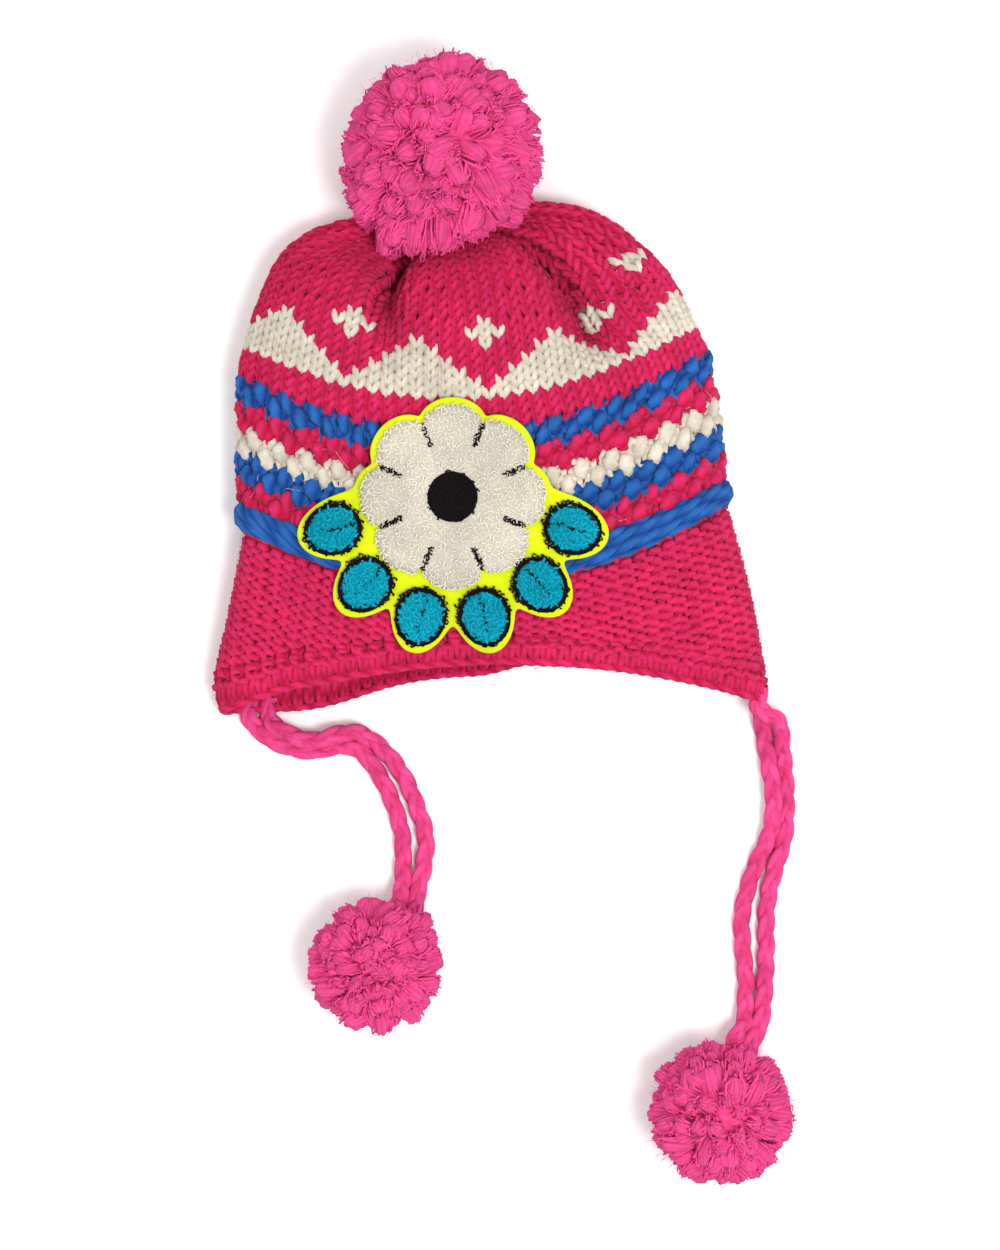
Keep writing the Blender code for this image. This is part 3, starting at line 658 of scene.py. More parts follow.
def link(name: str, data: bpy.types.ID, *materials: bpy.types.Material) -> bpy.types.Object:
    """Make an object of a mesh, a light or a camera, and put it in the scene.

    Args:
        name: Name of the object.
        data: The mesh, light or camera.
        materials: A mesh's finishes, in the order of its material numbers.

    Returns:
        The new object.
    """
    for material in materials:
        data.materials.append(material)
    made = bpy.data.objects.new(name, data)
    bpy.context.scene.collection.objects.link(made)
    return made


def take_on(name: str, mesh: bpy.types.Mesh, finishes: tuple[YarnFinish | FeltFinish, ...],
            *nodes: str) -> bpy.types.Object:
    """Make a piece that rides with the hat and may stand for solids.

    Args:
        name: Name of the piece.
        mesh: Its mesh.
        finishes: Its finishes, in the order of its material numbers.
        nodes: Nodes of the solid model that it stands for.

    Returns:
        The piece.
    """
    piece = link(name, mesh, *(finish.material() for finish in finishes))
    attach(piece, ROOT)
    if nodes:
        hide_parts(*nodes)
    LOG.info("%s: %d faces", piece.name, len(piece.data.polygons))
    return piece


class NodePen:
    """Adds and wires shader nodes in one tree."""

    def __init__(self, tree: bpy.types.NodeTree) -> None:
        """Start on a tree with nothing placed."""
        self.tree = tree
        self.placed = 0

    def node(self, kind: str, inputs: dict[str, object] | None = None,
             **settings: object) -> bpy.types.Node:
        """Place a node.

        Args:
            kind: Blender's name for the node's type.
            inputs: What goes into its inputs, by their names.
            settings: Properties of the node.

        Returns:
            The new node.
        """
        made = self.tree.nodes.new(kind)
        for key, value in settings.items():
            setattr(made, key, value)
        made.location = (180.0 * (self.placed % 8), -240.0 * (self.placed // 8))
        self.placed += 1
        return self.fill(made, inputs or {})

    def feed(self, socket: bpy.types.NodeSocket, source: object) -> None:
        """Link an input socket, or set its value.

        Args:
            socket: The input socket.
            source: An output socket, or a plain value.
        """
        if isinstance(source, bpy.types.NodeSocket):
            self.tree.links.new(source, socket)
        else:
            socket.default_value = source

    def fill(self, node: bpy.types.Node, inputs: dict[str, object]) -> bpy.types.Node:
        """Feed inputs of a node.

        Args:
            node: The node.
            inputs: What goes into its inputs, by their names.

        Returns:
            The node.
        """
        for name, source in inputs.items():
            self.feed(node.inputs[name], source)
        return node

    def math(self, operation: str, *inputs: object) -> bpy.types.NodeSocket:
        """Place a Math node.

        Args:
            operation: The operation's name.
            inputs: Sockets or numbers.

        Returns:
            The result's socket.
        """
        made = self.node("ShaderNodeMath", operation=operation)
        for socket, source in zip(made.inputs, inputs):
            self.feed(socket, source)
        return made.outputs[0]

    def mix(self, share: object, first: object, second: object,
            blend: str = "MIX") -> bpy.types.NodeSocket:
        """Place a colour Mix node.

        Args:
            share: How much of the second colour shows.
            first: First colour.
            second: Second colour.
            blend: The way of mixing.

        Returns:
            The result's socket.
        """
        made = self.node("ShaderNodeMix", data_type="RGBA", blend_type=blend)
        for number, source in ((0, share), (6, first), (7, second)):
            self.feed(made.inputs[number], source)
        return made.outputs[2]

    def noise(self, vector: object, scale: object, detail: float,
              roughness: float = 0.5) -> bpy.types.NodeSocket:
        """Place a Noise Texture.

        Args:
            vector: Where the noise is read.
            scale: Its scale.
            detail: Its number of finer layers.
            roughness: How strong the finer layers are.

        Returns:
            The value's socket.
        """
        return self.node("ShaderNodeTexNoise", {
            "Vector": vector, "Scale": scale, "Detail": detail, "Roughness": roughness,
        }).outputs["Fac"]

    def bump(self, height: object, distance: float, strength: float) -> bpy.types.NodeSocket:
        """Place a Bump node and return its normal."""
        return self.node("ShaderNodeBump", {
            "Height": height, "Distance": distance, "Strength": strength}).outputs[0]


class Effects:
    """Shader node groups that the yarns, the felt and the pile share."""

    grey = (0.5, 0.5, 0.5, 1.0)
    # White of the painted sheen on high fuzz
    painted_sheen_white = (1.0, 0.96, 0.96, 1.0)
    ply_roundness = 0.6
    fibre_stretch = 0.22
    fibre_winding = 0.006
    fuzz_finer = 1.6
    # Fuzz height where the painted sheen starts, and how steeply it grows
    fuzz_level = 0.45
    fuzz_contrast = 3.0
    tone_range = 0.6

    @staticmethod
    def _group(name: str, inputs: dict[str, object],
               outputs: dict[str, object]) -> tuple[bpy.types.NodeTree, NodePen]:
        """Start a node group with named sockets, for colours where the default has parts.

        Args:
            name: Name of the group.
            inputs: Default of each input.
            outputs: Default of each output.

        Returns:
            The group and a pen to draw in it.
        """
        group = bpy.data.node_groups.new(name, "ShaderNodeTree")
        for side, sockets in (("INPUT", inputs), ("OUTPUT", outputs)):
            for label, value in sockets.items():
                kind = "NodeSocketColor" if isinstance(value, tuple) else "NodeSocketFloat"
                socket = group.interface.new_socket(name=label, in_out=side, socket_type=kind)
                socket.default_value = value
        return group, NodePen(group)

    @cache
    def strands(self) -> bpy.types.NodeTree:
        """Build the relief of twisted plies and fine fibres along a yarn.

        Returns:
            The node group.
        """
        group, pen = self._group(
            "yarn_strands", {"Plies": 3.0, "Twist": 90.0, "Fibres": 900.0},
            {"Ply Height": 0.0, "Fibre Height": 0.0, "Fuzz": 0.0})
        given = pen.node("NodeGroupInput").outputs
        place = pen.node("ShaderNodeUVMap", uv_map="yarn").outputs[0]
        along, around = pen.node("ShaderNodeSeparateXYZ", {"Vector": place}).outputs[:2]
        wound = pen.math("ADD", pen.math("MULTIPLY", along, given["Twist"]),
                         pen.math("MULTIPLY", around, given["Plies"]))
        wave = pen.math("SINE", pen.math("MULTIPLY", wound, math.tau))
        spot = pen.node("ShaderNodeTexCoord").outputs["Object"]
        stretched = pen.node("ShaderNodeCombineXYZ", {
            "X": pen.math("MULTIPLY", along, self.fibre_stretch),
            "Y": pen.math("MULTIPLY", wound, self.fibre_winding),
            "Z": pen.noise(spot, 60.0, 1.0),
        }).outputs[0]
        finer = pen.math("MULTIPLY", given["Fibres"], self.fuzz_finer)
        pen.node("NodeGroupOutput", {
            "Ply Height": pen.math("POWER", pen.math("MULTIPLY_ADD", wave, 0.5, 0.5),
                                   self.ply_roundness),
            "Fibre Height": pen.noise(stretched, given["Fibres"], 3.0, 0.6),
            "Fuzz": pen.noise(spot, finer, 3.0, 0.7),
        })
        return group

    @cache
    def tone_and_painted_light(self) -> bpy.types.NodeTree:
        """Build the yarn's colour: its own tone, uneven at random, darkened in its grooves as
        painted shade and paler where its fuzz stands high as painted sheen.

        Returns:
            The node group.
        """
        group, pen = self._group(
            "uneven_dye", {"Colour": self.grey, "Groove": 1.0, "Fuzz": 0.5, "Depth": 0.35,
                           "Paleness": 0.25, "Patch Size": 45.0}, {"Colour": self.grey})
        given = pen.node("NodeGroupInput").outputs
        # Painted shade: a deeper copy of the colour, the colour times itself, mixed in where the
        # plies' grooves lie
        groove_shade_colour = pen.mix(1.0, given["Colour"], given["Colour"], "MULTIPLY")
        low = pen.math("MULTIPLY", pen.math("SUBTRACT", 1.0, given["Groove"]), given["Depth"])
        spot = pen.node("ShaderNodeTexCoord").outputs["Object"]
        cloud = pen.math("SUBTRACT", pen.noise(spot, given["Patch Size"], 3.0, 0.6), 0.5)
        toned = pen.node("ShaderNodeHueSaturation", {
            "Value": pen.math("MULTIPLY_ADD", cloud, self.tone_range, 1.0),
            "Color": pen.mix(low, given["Colour"], groove_shade_colour),
        }).outputs[0]
        # Painted sheen: white mixed softly onto the colour where the fuzz stands high
        raised = pen.math("MULTIPLY", pen.math("SUBTRACT", given["Fuzz"], self.fuzz_level),
                          self.fuzz_contrast)
        held = pen.node("ShaderNodeClamp", {"Value": raised}).outputs[0]
        painted_sheen_share = pen.math("MULTIPLY", held, given["Paleness"])
        pen.node("NodeGroupOutput", {"Colour": pen.mix(painted_sheen_share, toned, self.painted_sheen_white, "SOFT_LIGHT")})
        return group


EFFECTS = Effects()


def new_material(name: str) -> tuple[bpy.types.Material, bpy.types.Node, NodePen]:
    """Start a material.

    Args:
        name: Name of the material.

    Returns:
        The material, its shader and a pen to draw in its nodes.
    """
    made = bpy.data.materials.new(name)
    made.use_nodes = True
    return made, made.node_tree.nodes["Principled BSDF"], NodePen(made.node_tree)


# How much each part of a yarn's relief adds to its height
HEIGHT_SHARES = {"Ply Height": 0.60, "Fibre Height": 0.45, "Fuzz": 0.14}


@dataclass(frozen=True)
class YarnFinish:
    """A soft, twisted, slightly fuzzy yarn."""

    name: str
    dye: Dye
    slot: Slot
    plies: float = 2.0
    twist: float = 110.0
    fibres: float = 520.0
    # Strength of the painted shade in the plies' grooves, and of the painted sheen on high fuzz
    groove: float = 0.75
    paleness: float = 0.40
    relief: float = 0.00080
    sheen: float = 0.14
    glow: float = 0.0
    patch_size: float = 45.0
    # Share of the dye's brightness kept: the finish's own tone, and painted shade for the dark sheet
    # between stitches and the grounds between pile loops
    shade: float = 1.0

    @cache
    def material(self) -> bpy.types.Material:
        """Build the yarn's material, once.

        Returns:
            The material.
        """
        made, shader, pen = new_material(self.name)
        shaded = tuple(part * self.shade for part in self.dye.value)
        strands = pen.node("ShaderNodeGroup", {
            "Plies": self.plies, "Twist": self.twist, "Fibres": self.fibres,
        }, node_tree=EFFECTS.strands()).outputs
        streaks = pen.math("ADD", strands["Fuzz"], strands["Fibre Height"])
        # Own tone, with painted shade in the grooves and painted sheen on high fuzz
        toned_and_painted = pen.node("ShaderNodeGroup", {
            "Colour": (*shaded, 1.0), "Depth": self.groove, "Paleness": self.paleness,
            "Patch Size": self.patch_size, "Groove": strands["Ply Height"],
            "Fuzz": pen.math("MULTIPLY", streaks, 0.5),
        }, node_tree=EFFECTS.tone_and_painted_light())
        if self.relief > 0.0:
            height = 0.0
            for name, share in HEIGHT_SHARES.items():
                height = pen.math("MULTIPLY_ADD", strands[name], share, height)
            pen.fill(shader, {"Normal": pen.bump(height, self.relief, 0.9)})
        pen.fill(shader, {
            "Base Color": toned_and_painted.outputs["Colour"], "Roughness": 0.92, "Specular IOR Level": 0.04,
            "Sheen Weight": self.sheen, "Sheen Roughness": 0.45,
            "Sheen Tint": (*(0.4 + 0.6 * part for part in shaded), 1.0),
            "Subsurface Weight": self.glow, "Subsurface Scale": 0.004,
            "Subsurface Radius": (1.0, 0.45, 0.55),
        })
        return made


@dataclass(frozen=True)
class FeltFinish:
    """Matt felt: short matted fibres in one bright colour."""

    name: str
    dye: Dye
    slot: Slot
    fibres: float = 700.0
    relief: float = 0.00030

    @cache
    def material(self) -> bpy.types.Material:
        """Build the felt's material, once.

        Returns:
            The material.
        """
        made, shader, pen = new_material(self.name)
        spot = pen.node("ShaderNodeTexCoord").outputs["Object"]
        matted = pen.noise(spot, self.fibres, 4.0, 0.75)
        # The felt's own colour, with painted shade where the matted fibres lie low and painted sheen
        # where they stand high
        toned_and_painted = pen.node("ShaderNodeGroup", {
            "Colour": (*self.dye.value, 1.0), "Depth": 0.25, "Paleness": 0.20,
            "Groove": matted, "Fuzz": matted,
        }, node_tree=EFFECTS.tone_and_painted_light())
        pen.fill(shader, {
            "Base Color": toned_and_painted.outputs["Colour"], "Roughness": 0.95, "Specular IOR Level": 0.1,
            "Sheen Weight": 0.1, "Normal": pen.bump(matted, self.relief, 0.8),
        })
        return made


@dataclass
class HatPiece:
    """A part of the hat, with the surface that it is laid on."""

    surface: HatSurface


KNIT = {
    Dye.RASPBERRY: YarnFinish("raspberry_yarn", Dye.RASPBERRY, Slot.RASPBERRY_KNIT),
    Dye.BLUE: YarnFinish("blue_yarn", Dye.BLUE, Slot.BLUE_KNIT),
    Dye.CREAM: YarnFinish("cream_yarn", Dye.CREAM, Slot.CREAM_KNIT, groove=0.35, shade=0.84),
}
# Darkened raspberry and blue for the sheet between stitches: painted shade in the gaps
SHADE_SHEET_FINISHES = (
    YarnFinish("raspberry_painted_shade", Dye.RASPBERRY, Slot.RASPBERRY_KNIT, shade=0.62),
    YarnFinish("blue_painted_shade", Dye.BLUE, Slot.BLUE_KNIT, shade=0.35),
)
ROPE = YarnFinish("blue_rope_yarn", Dye.BLUE, Slot.BLUE_KNIT, twist=70.0, fibres=450.0,
                  groove=0.70, relief=0.0010)
BRAID = YarnFinish("pink_braid_yarn", Dye.PINK, Slot.PINK_YARN, twist=60.0, fibres=450.0,
                   groove=0.45, relief=0.0010)
POMPOM = YarnFinish("pink_pompom_yarn", Dye.PINK, Slot.PINK_YARN, plies=11.0, twist=10.0,
                    fibres=420.0, groove=0.20, relief=0.0010, sheen=0.1)
FIBRE = {
    dye: YarnFinish(f"{dye.name.lower()}_fibre", dye, slot, groove=0.0, relief=0.0, sheen=0.0,
                    patch_size=450.0)
    for dye, slot in (
        (Dye.RASPBERRY, Slot.RASPBERRY_KNIT), (Dye.BLUE, Slot.BLUE_KNIT),
        (Dye.CREAM, Slot.CREAM_KNIT), (Dye.PINK, Slot.PINK_YARN))
}
PILE = {
    Dye.CREAM: YarnFinish("cream_pile_yarn", Dye.CREAM, Slot.CREAM_PILE, groove=0.1,
                          relief=0.0, sheen=0.1, glow=0.2, shade=0.84),
    Dye.TURQUOISE: YarnFinish("turquoise_pile_yarn", Dye.TURQUOISE, Slot.TURQUOISE_PILE,
                              twist=400.0, groove=0.5, relief=0.0002, sheen=0.2),
    Dye.BLACK: YarnFinish("black_pile_yarn", Dye.BLACK, Slot.BLACK_PILE, twist=400.0,
                          relief=0.0002, sheen=0.05),
}
# Grounds under the pile at a little over half the dye's brightness: painted shade between the loops
SHADED_GROUND = {
    dye: YarnFinish(f"{dye.name.lower()}_ground", dye, pile.slot, groove=0.1, relief=0.0,
                    sheen=0.0, shade=0.56)
    for dye, pile in PILE.items()
}
FELT = FeltFinish("yellow_felt", Dye.YELLOW, Slot.YELLOW_FELT)


@dataclass(frozen=True)
class Stitch:
    """The path of the yarn through one stitch.

    Widths are shares of a stitch's width and heights shares of a course's height. side is 1
    where the legs lie in front, as in a knit stitch, and -1 where the loops do, as in a purl.
    """

    side: float = 1.0
    spread: float = 0.20
    reach: float = 0.80
    depth: float = 0.0011
    lift: float = 0.0
    radius: float = 0.00175
    fill: float = 0.31
    unevenness: float = 0.06
    samples: int = 10
    sides: int = 5

    def phases(self) -> np.ndarray:
        """Return where on its loop each point lies, with one point more at either end."""
        start = 0.5 * math.pi if self.side < 0.0 else 0.0
        return start + math.tau * np.arange(-1, self.samples + 2) / self.samples


def stitch_grid(courses: list[float] | range, stitches: int) -> tuple[np.ndarray, np.ndarray]:
    """Return the course and the place of every stitch in whole courses."""
    grid = np.meshgrid(np.array(courses, dtype=float), np.arange(float(stitches)), indexing="ij")
    return grid[0].ravel(), grid[1].ravel()


def stray(courses: np.ndarray, places: np.ndarray, salt: float) -> np.ndarray:
    """Return an uneven number for each stitch, the same on every run.

    Args:
        courses: The course of each stitch.
        places: The place of each stitch.
        salt: Sets one series of numbers apart from another.

    Returns:
        Numbers from -1 to 1, one column.
    """
    by_course, by_place, by_salt = SCATTER
    mixed = np.sin(by_course * courses + by_place * places + by_salt * salt) * SCATTER_SCALE
    return (2.0 * (mixed - np.floor(mixed)) - 1.0)[:, None]


def above_floor(centres: np.ndarray, radii: np.ndarray) -> np.ndarray:
    """Keep yarn from reaching below the surface that the hat lies on.

    Args:
        centres: Points of the yarn's middle.
        radii: Radius at each point.

    Returns:
        The points, lifted where the yarn would reach below the surface.
    """
    lifted = centres.copy()
    lifted[..., 2] = np.maximum(lifted[..., 2], radii * FLOOR_SHARE + FLOOR_GAP)
    return lifted


def knit(surface: HatSurface, row_of: Callable, stitch: Stitch, stitches: int,
         courses: np.ndarray, places: np.ndarray) -> tuple[np.ndarray, np.ndarray, np.ndarray]:
    """Lay the yarn of chosen stitches on the hat.

    Args:
        surface: The hat's surface.
        row_of: Gives the row of a course at a turn.
        stitch: The yarn's path.
        stitches: How many stitches go round.
        courses: The course of each chosen stitch.
        places: The place round the hat of each chosen stitch.

    Returns:
        The yarn's points, outward directions and radii, one line for each stitch.
    """
    phase = stitch.phases()[None, :]
    height = -stitch.reach * np.cos(phase)
    across = phase / math.tau + stitch.spread * np.sin(2.0 * phase)
    own = 0.5 - 0.5 * np.cos(phase - phase[:, 1:2])
    across = across + stitch.unevenness * stray(courses, places, 1.0) * own
    height = height + HIGHER * stitch.unevenness * stray(courses, places, 2.0) * own
    turns = (places[:, None] + across) / stitches
    thick = np.sin(41.0 * turns + 2.3 * courses[:, None]) * np.sin(97.0 * turns + 5.0)
    wave = np.sin(math.tau * WAVES * turns + 4.1 * courses[:, None])
    height = height + WAVE_COURSES * wave
    rows = row_of(courses[:, None] + 0.5 + height, turns)
    points, normals = surface.place(rows, turns)
    middle_rows = row_of(courses[:, None] + 0.5, turns)
    width = surface.stitch_width(middle_rows, turns, stitches)
    fuller = FULLER * stitch.unevenness * stray(courses, places, 3.0) * own
    swell = 1.0 + THICK_PLACES * thick + fuller
    radii = np.minimum(stitch.radius, stitch.fill * width) * swell
    out = stitch.lift - stitch.side * stitch.depth * np.cos(2.0 * phase) + WAVE_DEPTH * wave
    return above_floor(points + normals * out[..., None], radii), normals, radii


@dataclass(frozen=True)
class CrownChart:
    """Cream triangles on a base line, with a small cross between each two."""

    repeat: int = 10
    first_peak: int = 1
    base_course: int = 3
    rows_high: int = 6
    cross_course: int = 9
    lobe_cross: tuple[int, int] = (14, 2)

    def __call__(self, courses: np.ndarray, places: np.ndarray) -> np.ndarray:
        """Find the cream stitches.

        Args:
            courses: Course of each stitch.
            places: Place of each stitch.

        Returns:
            Whether each stitch is cream.
        """
        from_peak = np.mod(places - self.first_peak + self.repeat // 2, self.repeat)
        from_peak = np.abs(from_peak - self.repeat // 2)
        up = courses - self.base_course
        triangle = (up >= 1) & (up < self.rows_high) & (from_peak <= self.rows_high - 1 - up)
        from_cross = self.repeat // 2 - from_peak
        post = (from_cross == 0) & (np.abs(courses - self.cross_course) <= 1)
        arms = (from_cross <= 1) & (courses == self.cross_course)
        lobe_up, lobe_place = self.lobe_cross
        lobe = np.abs(courses - lobe_up) + np.abs(places - lobe_place) <= 1
        return (up == 0) | triangle | post | arms | lobe


@dataclass
class Crown(HatPiece):
    """The triangle band and the crown, knitted as one: courses, stitches and decreases."""

    low: str = "ridge_top"
    high: str = "gather"
    courses: int = 28
    stitches: int = 70
    decreases: tuple[tuple[int, int], ...] = ((11, 62), (14, 54), (17, 46), (20, 36))
    hidden_courses: int = 2
    chart: CrownChart = CrownChart()
    stitch: Stitch = Stitch(spread=0.25, reach=0.98, depth=0.0014, radius=0.0019, fill=0.27)

    def build(self) -> None:
        """Knit it, one piece for each colour in its chart."""
        row_of = self.surface.even_rows(self.low, self.high, self.courses)
        starts, counts = zip((0, self.stitches), *self.decreases)
        ends = (*starts[1:], self.courses - self.hidden_courses)
        for dye in (Dye.RASPBERRY, Dye.CREAM):
            yarn = YarnMesh(f"crown_knit_{dye.name.lower()}", self.stitch.sides)
            for start, end, count in zip(starts, ends, counts):
                courses, places = stitch_grid(range(start, end), count)
                cream = self.chart(courses, np.round(places * self.stitches / count))
                own = cream if dye is Dye.CREAM else ~cream
                if own.any():
                    yarn.add(*knit(self.surface, row_of, self.stitch, count, courses[own],
                                   places[own]), joined=True)
            yarn.build(KNIT[dye], "triangle_band", "crown")


@dataclass
class BumpBand(HatPiece):
    """A band of plump bumps over a plain ground, in stripes of one colour each."""

    name: str
    node: str
    low: str
    high: str
    stripes: tuple[Dye, ...]
    stagger: float
    half_height: float
    lean: float
    radius: float
    lift: float
    stitches: int = 70
    fill: float = 0.50
    ragged: float = 0.34
    flatten: float = 0.85
    bump_sides: int = 10
    # How far stitches stray in lean, place, height, size and knobbiness
    strays: tuple[float, ...] = (0.4, 0.10, 0.06, 0.14, 3.0)
    ground: Stitch = Stitch(side=-1.0, spread=0.12, reach=0.60, depth=0.0005, lift=-0.0010,
                            radius=0.0024, fill=0.40, samples=8)

    def build(self) -> None:
        """Knit the band, one piece for each colour."""
        count = len(self.stripes)
        ground_rows = self.surface.even_rows(self.low, self.high, 2 * count)
        for dye in dict.fromkeys(self.stripes):
            yarn = YarnMesh(f"{self.name}_{dye.name.lower()}", self.ground.sides)
            own = [stripe for stripe in range(count) if self.stripes[stripe] is dye]
            courses, places = stitch_grid(
                [2 * stripe + half for stripe in own for half in (0, 1)], self.stitches)
            yarn.add(*knit(self.surface, ground_rows, self.ground, self.stitches, courses,
                           places), joined=True)
            yarn.sides = self.bump_sides
            for stripe in own:
                yarn.add(*self._bumps(stripe), flatten=self.flatten, ragged=self.ragged)
            yarn.build(KNIT[dye], self.node)

    def _bumps(self, stripe: int) -> tuple[np.ndarray, np.ndarray, np.ndarray]:
        """Lay one stripe's bumps, each a short plump piece of yarn.

        Args:
            stripe: Number of the stripe, counted from the bottom.

        Returns:
            The bumps' points, outward directions and radii.
        """
        row_of = self.surface.even_rows(self.low, self.high, len(self.stripes))
        courses, places = stitch_grid([stripe], self.stitches)
        lean, aside, up, plump, knob = (share * stray(courses, places, salt)
                                        for salt, share in enumerate(self.strays, start=4))
        steps = np.linspace(-1.0, 1.0, 9)[None, :]
        middle = (places[:, None] + 0.5 + 0.25 * stripe) / self.stitches
        side = np.sin(math.tau * (middle - 0.25))
        turned = self.lean * (1.0 + lean) * side * steps
        turns = middle + (turned + aside) / self.stitches
        shift = np.where(places[:, None] % 2 == 0, self.stagger, -self.stagger) + up
        rows = row_of(stripe + 0.5 + shift + self.half_height * steps, turns)
        points, normals = self.surface.place(rows, turns)
        width = self.surface.stitch_width(rows, turns, self.stitches)
        bulge = np.sqrt(np.maximum(1.0 - steps ** 2, 0.0))
        radii = np.minimum(self.radius, self.fill * width) * (bulge ** 0.65 + 0.02)
        radii = radii * (1.0 + plump) * (1.0 + 0.12 * np.sin(9.0 * steps + knob))
        out = self.lift * (1.3 * bulge - 0.8)
        return above_floor(points + normals * out[..., None], radii), normals, radii


def hem_lift(turns: np.ndarray) -> np.ndarray:
    """Return how much shorter the hem is at turns, in rows, where the front hides its back."""
    grown = smooth_step((turns - HEM_LIFT_FROM) / (HEM_LIFT_FULL - HEM_LIFT_FROM))
    return HEM_LIFT * grown * smooth_step((HEM_LIFT_TO - turns) / (HEM_LIFT_TO - HEM_LIFT_LESS))


@dataclass
class SkirtAndTrim(HatPiece):
    """The purl skirt with its earflaps, and the ribbed trim that follows them."""

    stitches: int = 72
    pitch: float = 0.0041
    deepest: float = 0.085
    rib_stitches: int = 96
    skirt_past_trim: float = 0.04
    rib_below_hem: float = 0.02
    bump_course: float = 2.35
    edge_row: float = 0.07
    edge_radius: float = 0.0021
    edge_beading: float = 0.0003
    skirt: Stitch = Stitch(side=-1.0, spread=0.17, reach=0.86, depth=0.0014, lift=0.0002,
                           radius=0.0019, fill=0.36, unevenness=0.13)
    rib: Stitch = Stitch(side=1.0, spread=0.04, reach=0.40, depth=0.0008, radius=0.0021,
                         fill=0.34, samples=12)
    edge: Stitch = Stitch(side=-1.0, spread=0.16, reach=0.60, depth=0.0014, lift=0.0008,
                          radius=0.0018, fill=0.36)

    def build(self) -> None:
        """Knit the skirt down from the blue band, then the trim along the hem."""
        row_of = self.surface.rows_down("blue_low", self.pitch, self.deepest)
        courses, places = stitch_grid(range(int(self.deepest / self.pitch)), self.stitches)
        rows = row_of(courses + 0.5, (places + 0.5) / self.stitches)
        kept = rows > ROUND_AT["trim_top"] - self.skirt_past_trim
        skirt = YarnMesh("skirt_knit", self.skirt.sides)
        skirt.add(*knit(self.surface, row_of, self.skirt, self.stitches, courses[kept],
                        places[kept]), joined=True)
        skirt.build(KNIT[Dye.RASPBERRY], "earflap_skirt")
        self._trim()

    def _trim(self) -> None:
        """Knit the ribs, the cord along their edge and the row of bumps above them."""
        trim = YarnMesh("trim_knit", self.rib.sides)
        ribs = self.surface.even_rows("hem", "trim_top", 1)
        places = np.arange(float(self.rib_stitches))
        trim.add(*knit(self.surface, ribs, self.rib, self.rib_stitches,
                       hem_lift(places / self.rib_stitches) - self.rib_below_hem, places),
                 joined=True)
        turns = np.arange(-1, 4 * self.rib_stitches + 2)[None, :] / (4 * self.rib_stitches)
        points, normals = self.surface.place(self.edge_row + hem_lift(turns), turns)
        beads = np.cos(math.tau * self.rib_stitches * turns)
        radii = self.edge_radius + self.edge_beading * beads
        trim.add(above_floor(points, radii), normals, radii, joined=True)
        bumps = self.surface.even_rows("hem", "trim_top", 3)
        courses, places = stitch_grid([self.bump_course], self.stitches)
        trim.add(*knit(self.surface, bumps, self.edge, self.stitches, courses, places),
                 joined=True)
        trim.build(KNIT[Dye.RASPBERRY], "rib_trim")


@dataclass
class RopeBand(HatPiece):
    """The lower blue band: thick strands that slant round the hat like a rope."""

    strands: int = 6
    wraps: float = 8.0
    radius: float = 0.0023
    depth: float = 0.0029
    lift: float = 0.0010
    swing: float = 0.40
    swell: float = 0.10
    points: int = 300

    def build(self) -> None:
        """Wind the strands round the hat, mirrored at the middle of front and back."""
        low, high = ROUND_AT["blue_low"], ROUND_AT["blue_top"]
        from_front = np.arange(-1, self.points + 2) / self.points
        turns = np.broadcast_to(from_front + 0.25, (self.strands, len(from_front)))
        start = np.arange(self.strands)[:, None] / self.strands
        mirrored = np.abs(np.mod(from_front + 0.5, 1.0) - 0.5)
        phase = math.tau * (start - self.wraps * mirrored)
        rows = 0.5 * (low + high) + self.swing * (high - low) * np.cos(phase)
        points, normals = self.surface.place(rows, turns)
        out = self.lift + self.depth * np.sin(phase)
        radii = self.radius * (1.0 + self.swell * np.sin(3.0 * phase + 9.0 * start))
        yarn = YarnMesh("lower_band_rope", 7)
        yarn.add(above_floor(points + normals * out[..., None], radii), normals, radii,
                 joined=True)
        yarn.build(ROPE, "lower_blue_band")


@dataclass
class PaintedShadeSheet(HatPiece):
    """A dark sheet through the middle of the fabric, seen only between the yarns: painted shade for
    the gaps between stitches.
    """

    turns: int = 180
    rows_per_round: int = 4
    first_row: float = 0.12

    def build(self) -> None:
        """Lay a thin sheet of painted shade through the middle of all sections, blue under the blue
        ones.
        """
        last = len(ROUNDS) - 1
        rows = np.linspace(self.first_row, last, last * self.rows_per_round + 1)
        grid_rows, turns = np.meshgrid(rows, np.arange(self.turns) / self.turns, indexing="ij")
        points, _ = self.surface.place(
            np.maximum(grid_rows, hem_lift(turns) + 0.02 * grid_rows), turns)
        mesh = ringed_mesh("painted_shade_sheet", points)
        middles = 0.5 * (rows[:-1] + rows[1:])
        blue = np.zeros(len(middles), dtype=np.int32)
        for low, high in (("blue_low", "seed_middle"), ("ridge_low", "ridge_top")):
            blue[(middles > ROUND_AT[low]) & (middles < ROUND_AT[high])] = 1
        mesh.polygons.foreach_set("material_index", np.repeat(blue, self.turns))
        mesh.uv_layers.new(name="yarn")
        take_on("painted_shade_sheet", mesh, SHADE_SHEET_FINISHES)


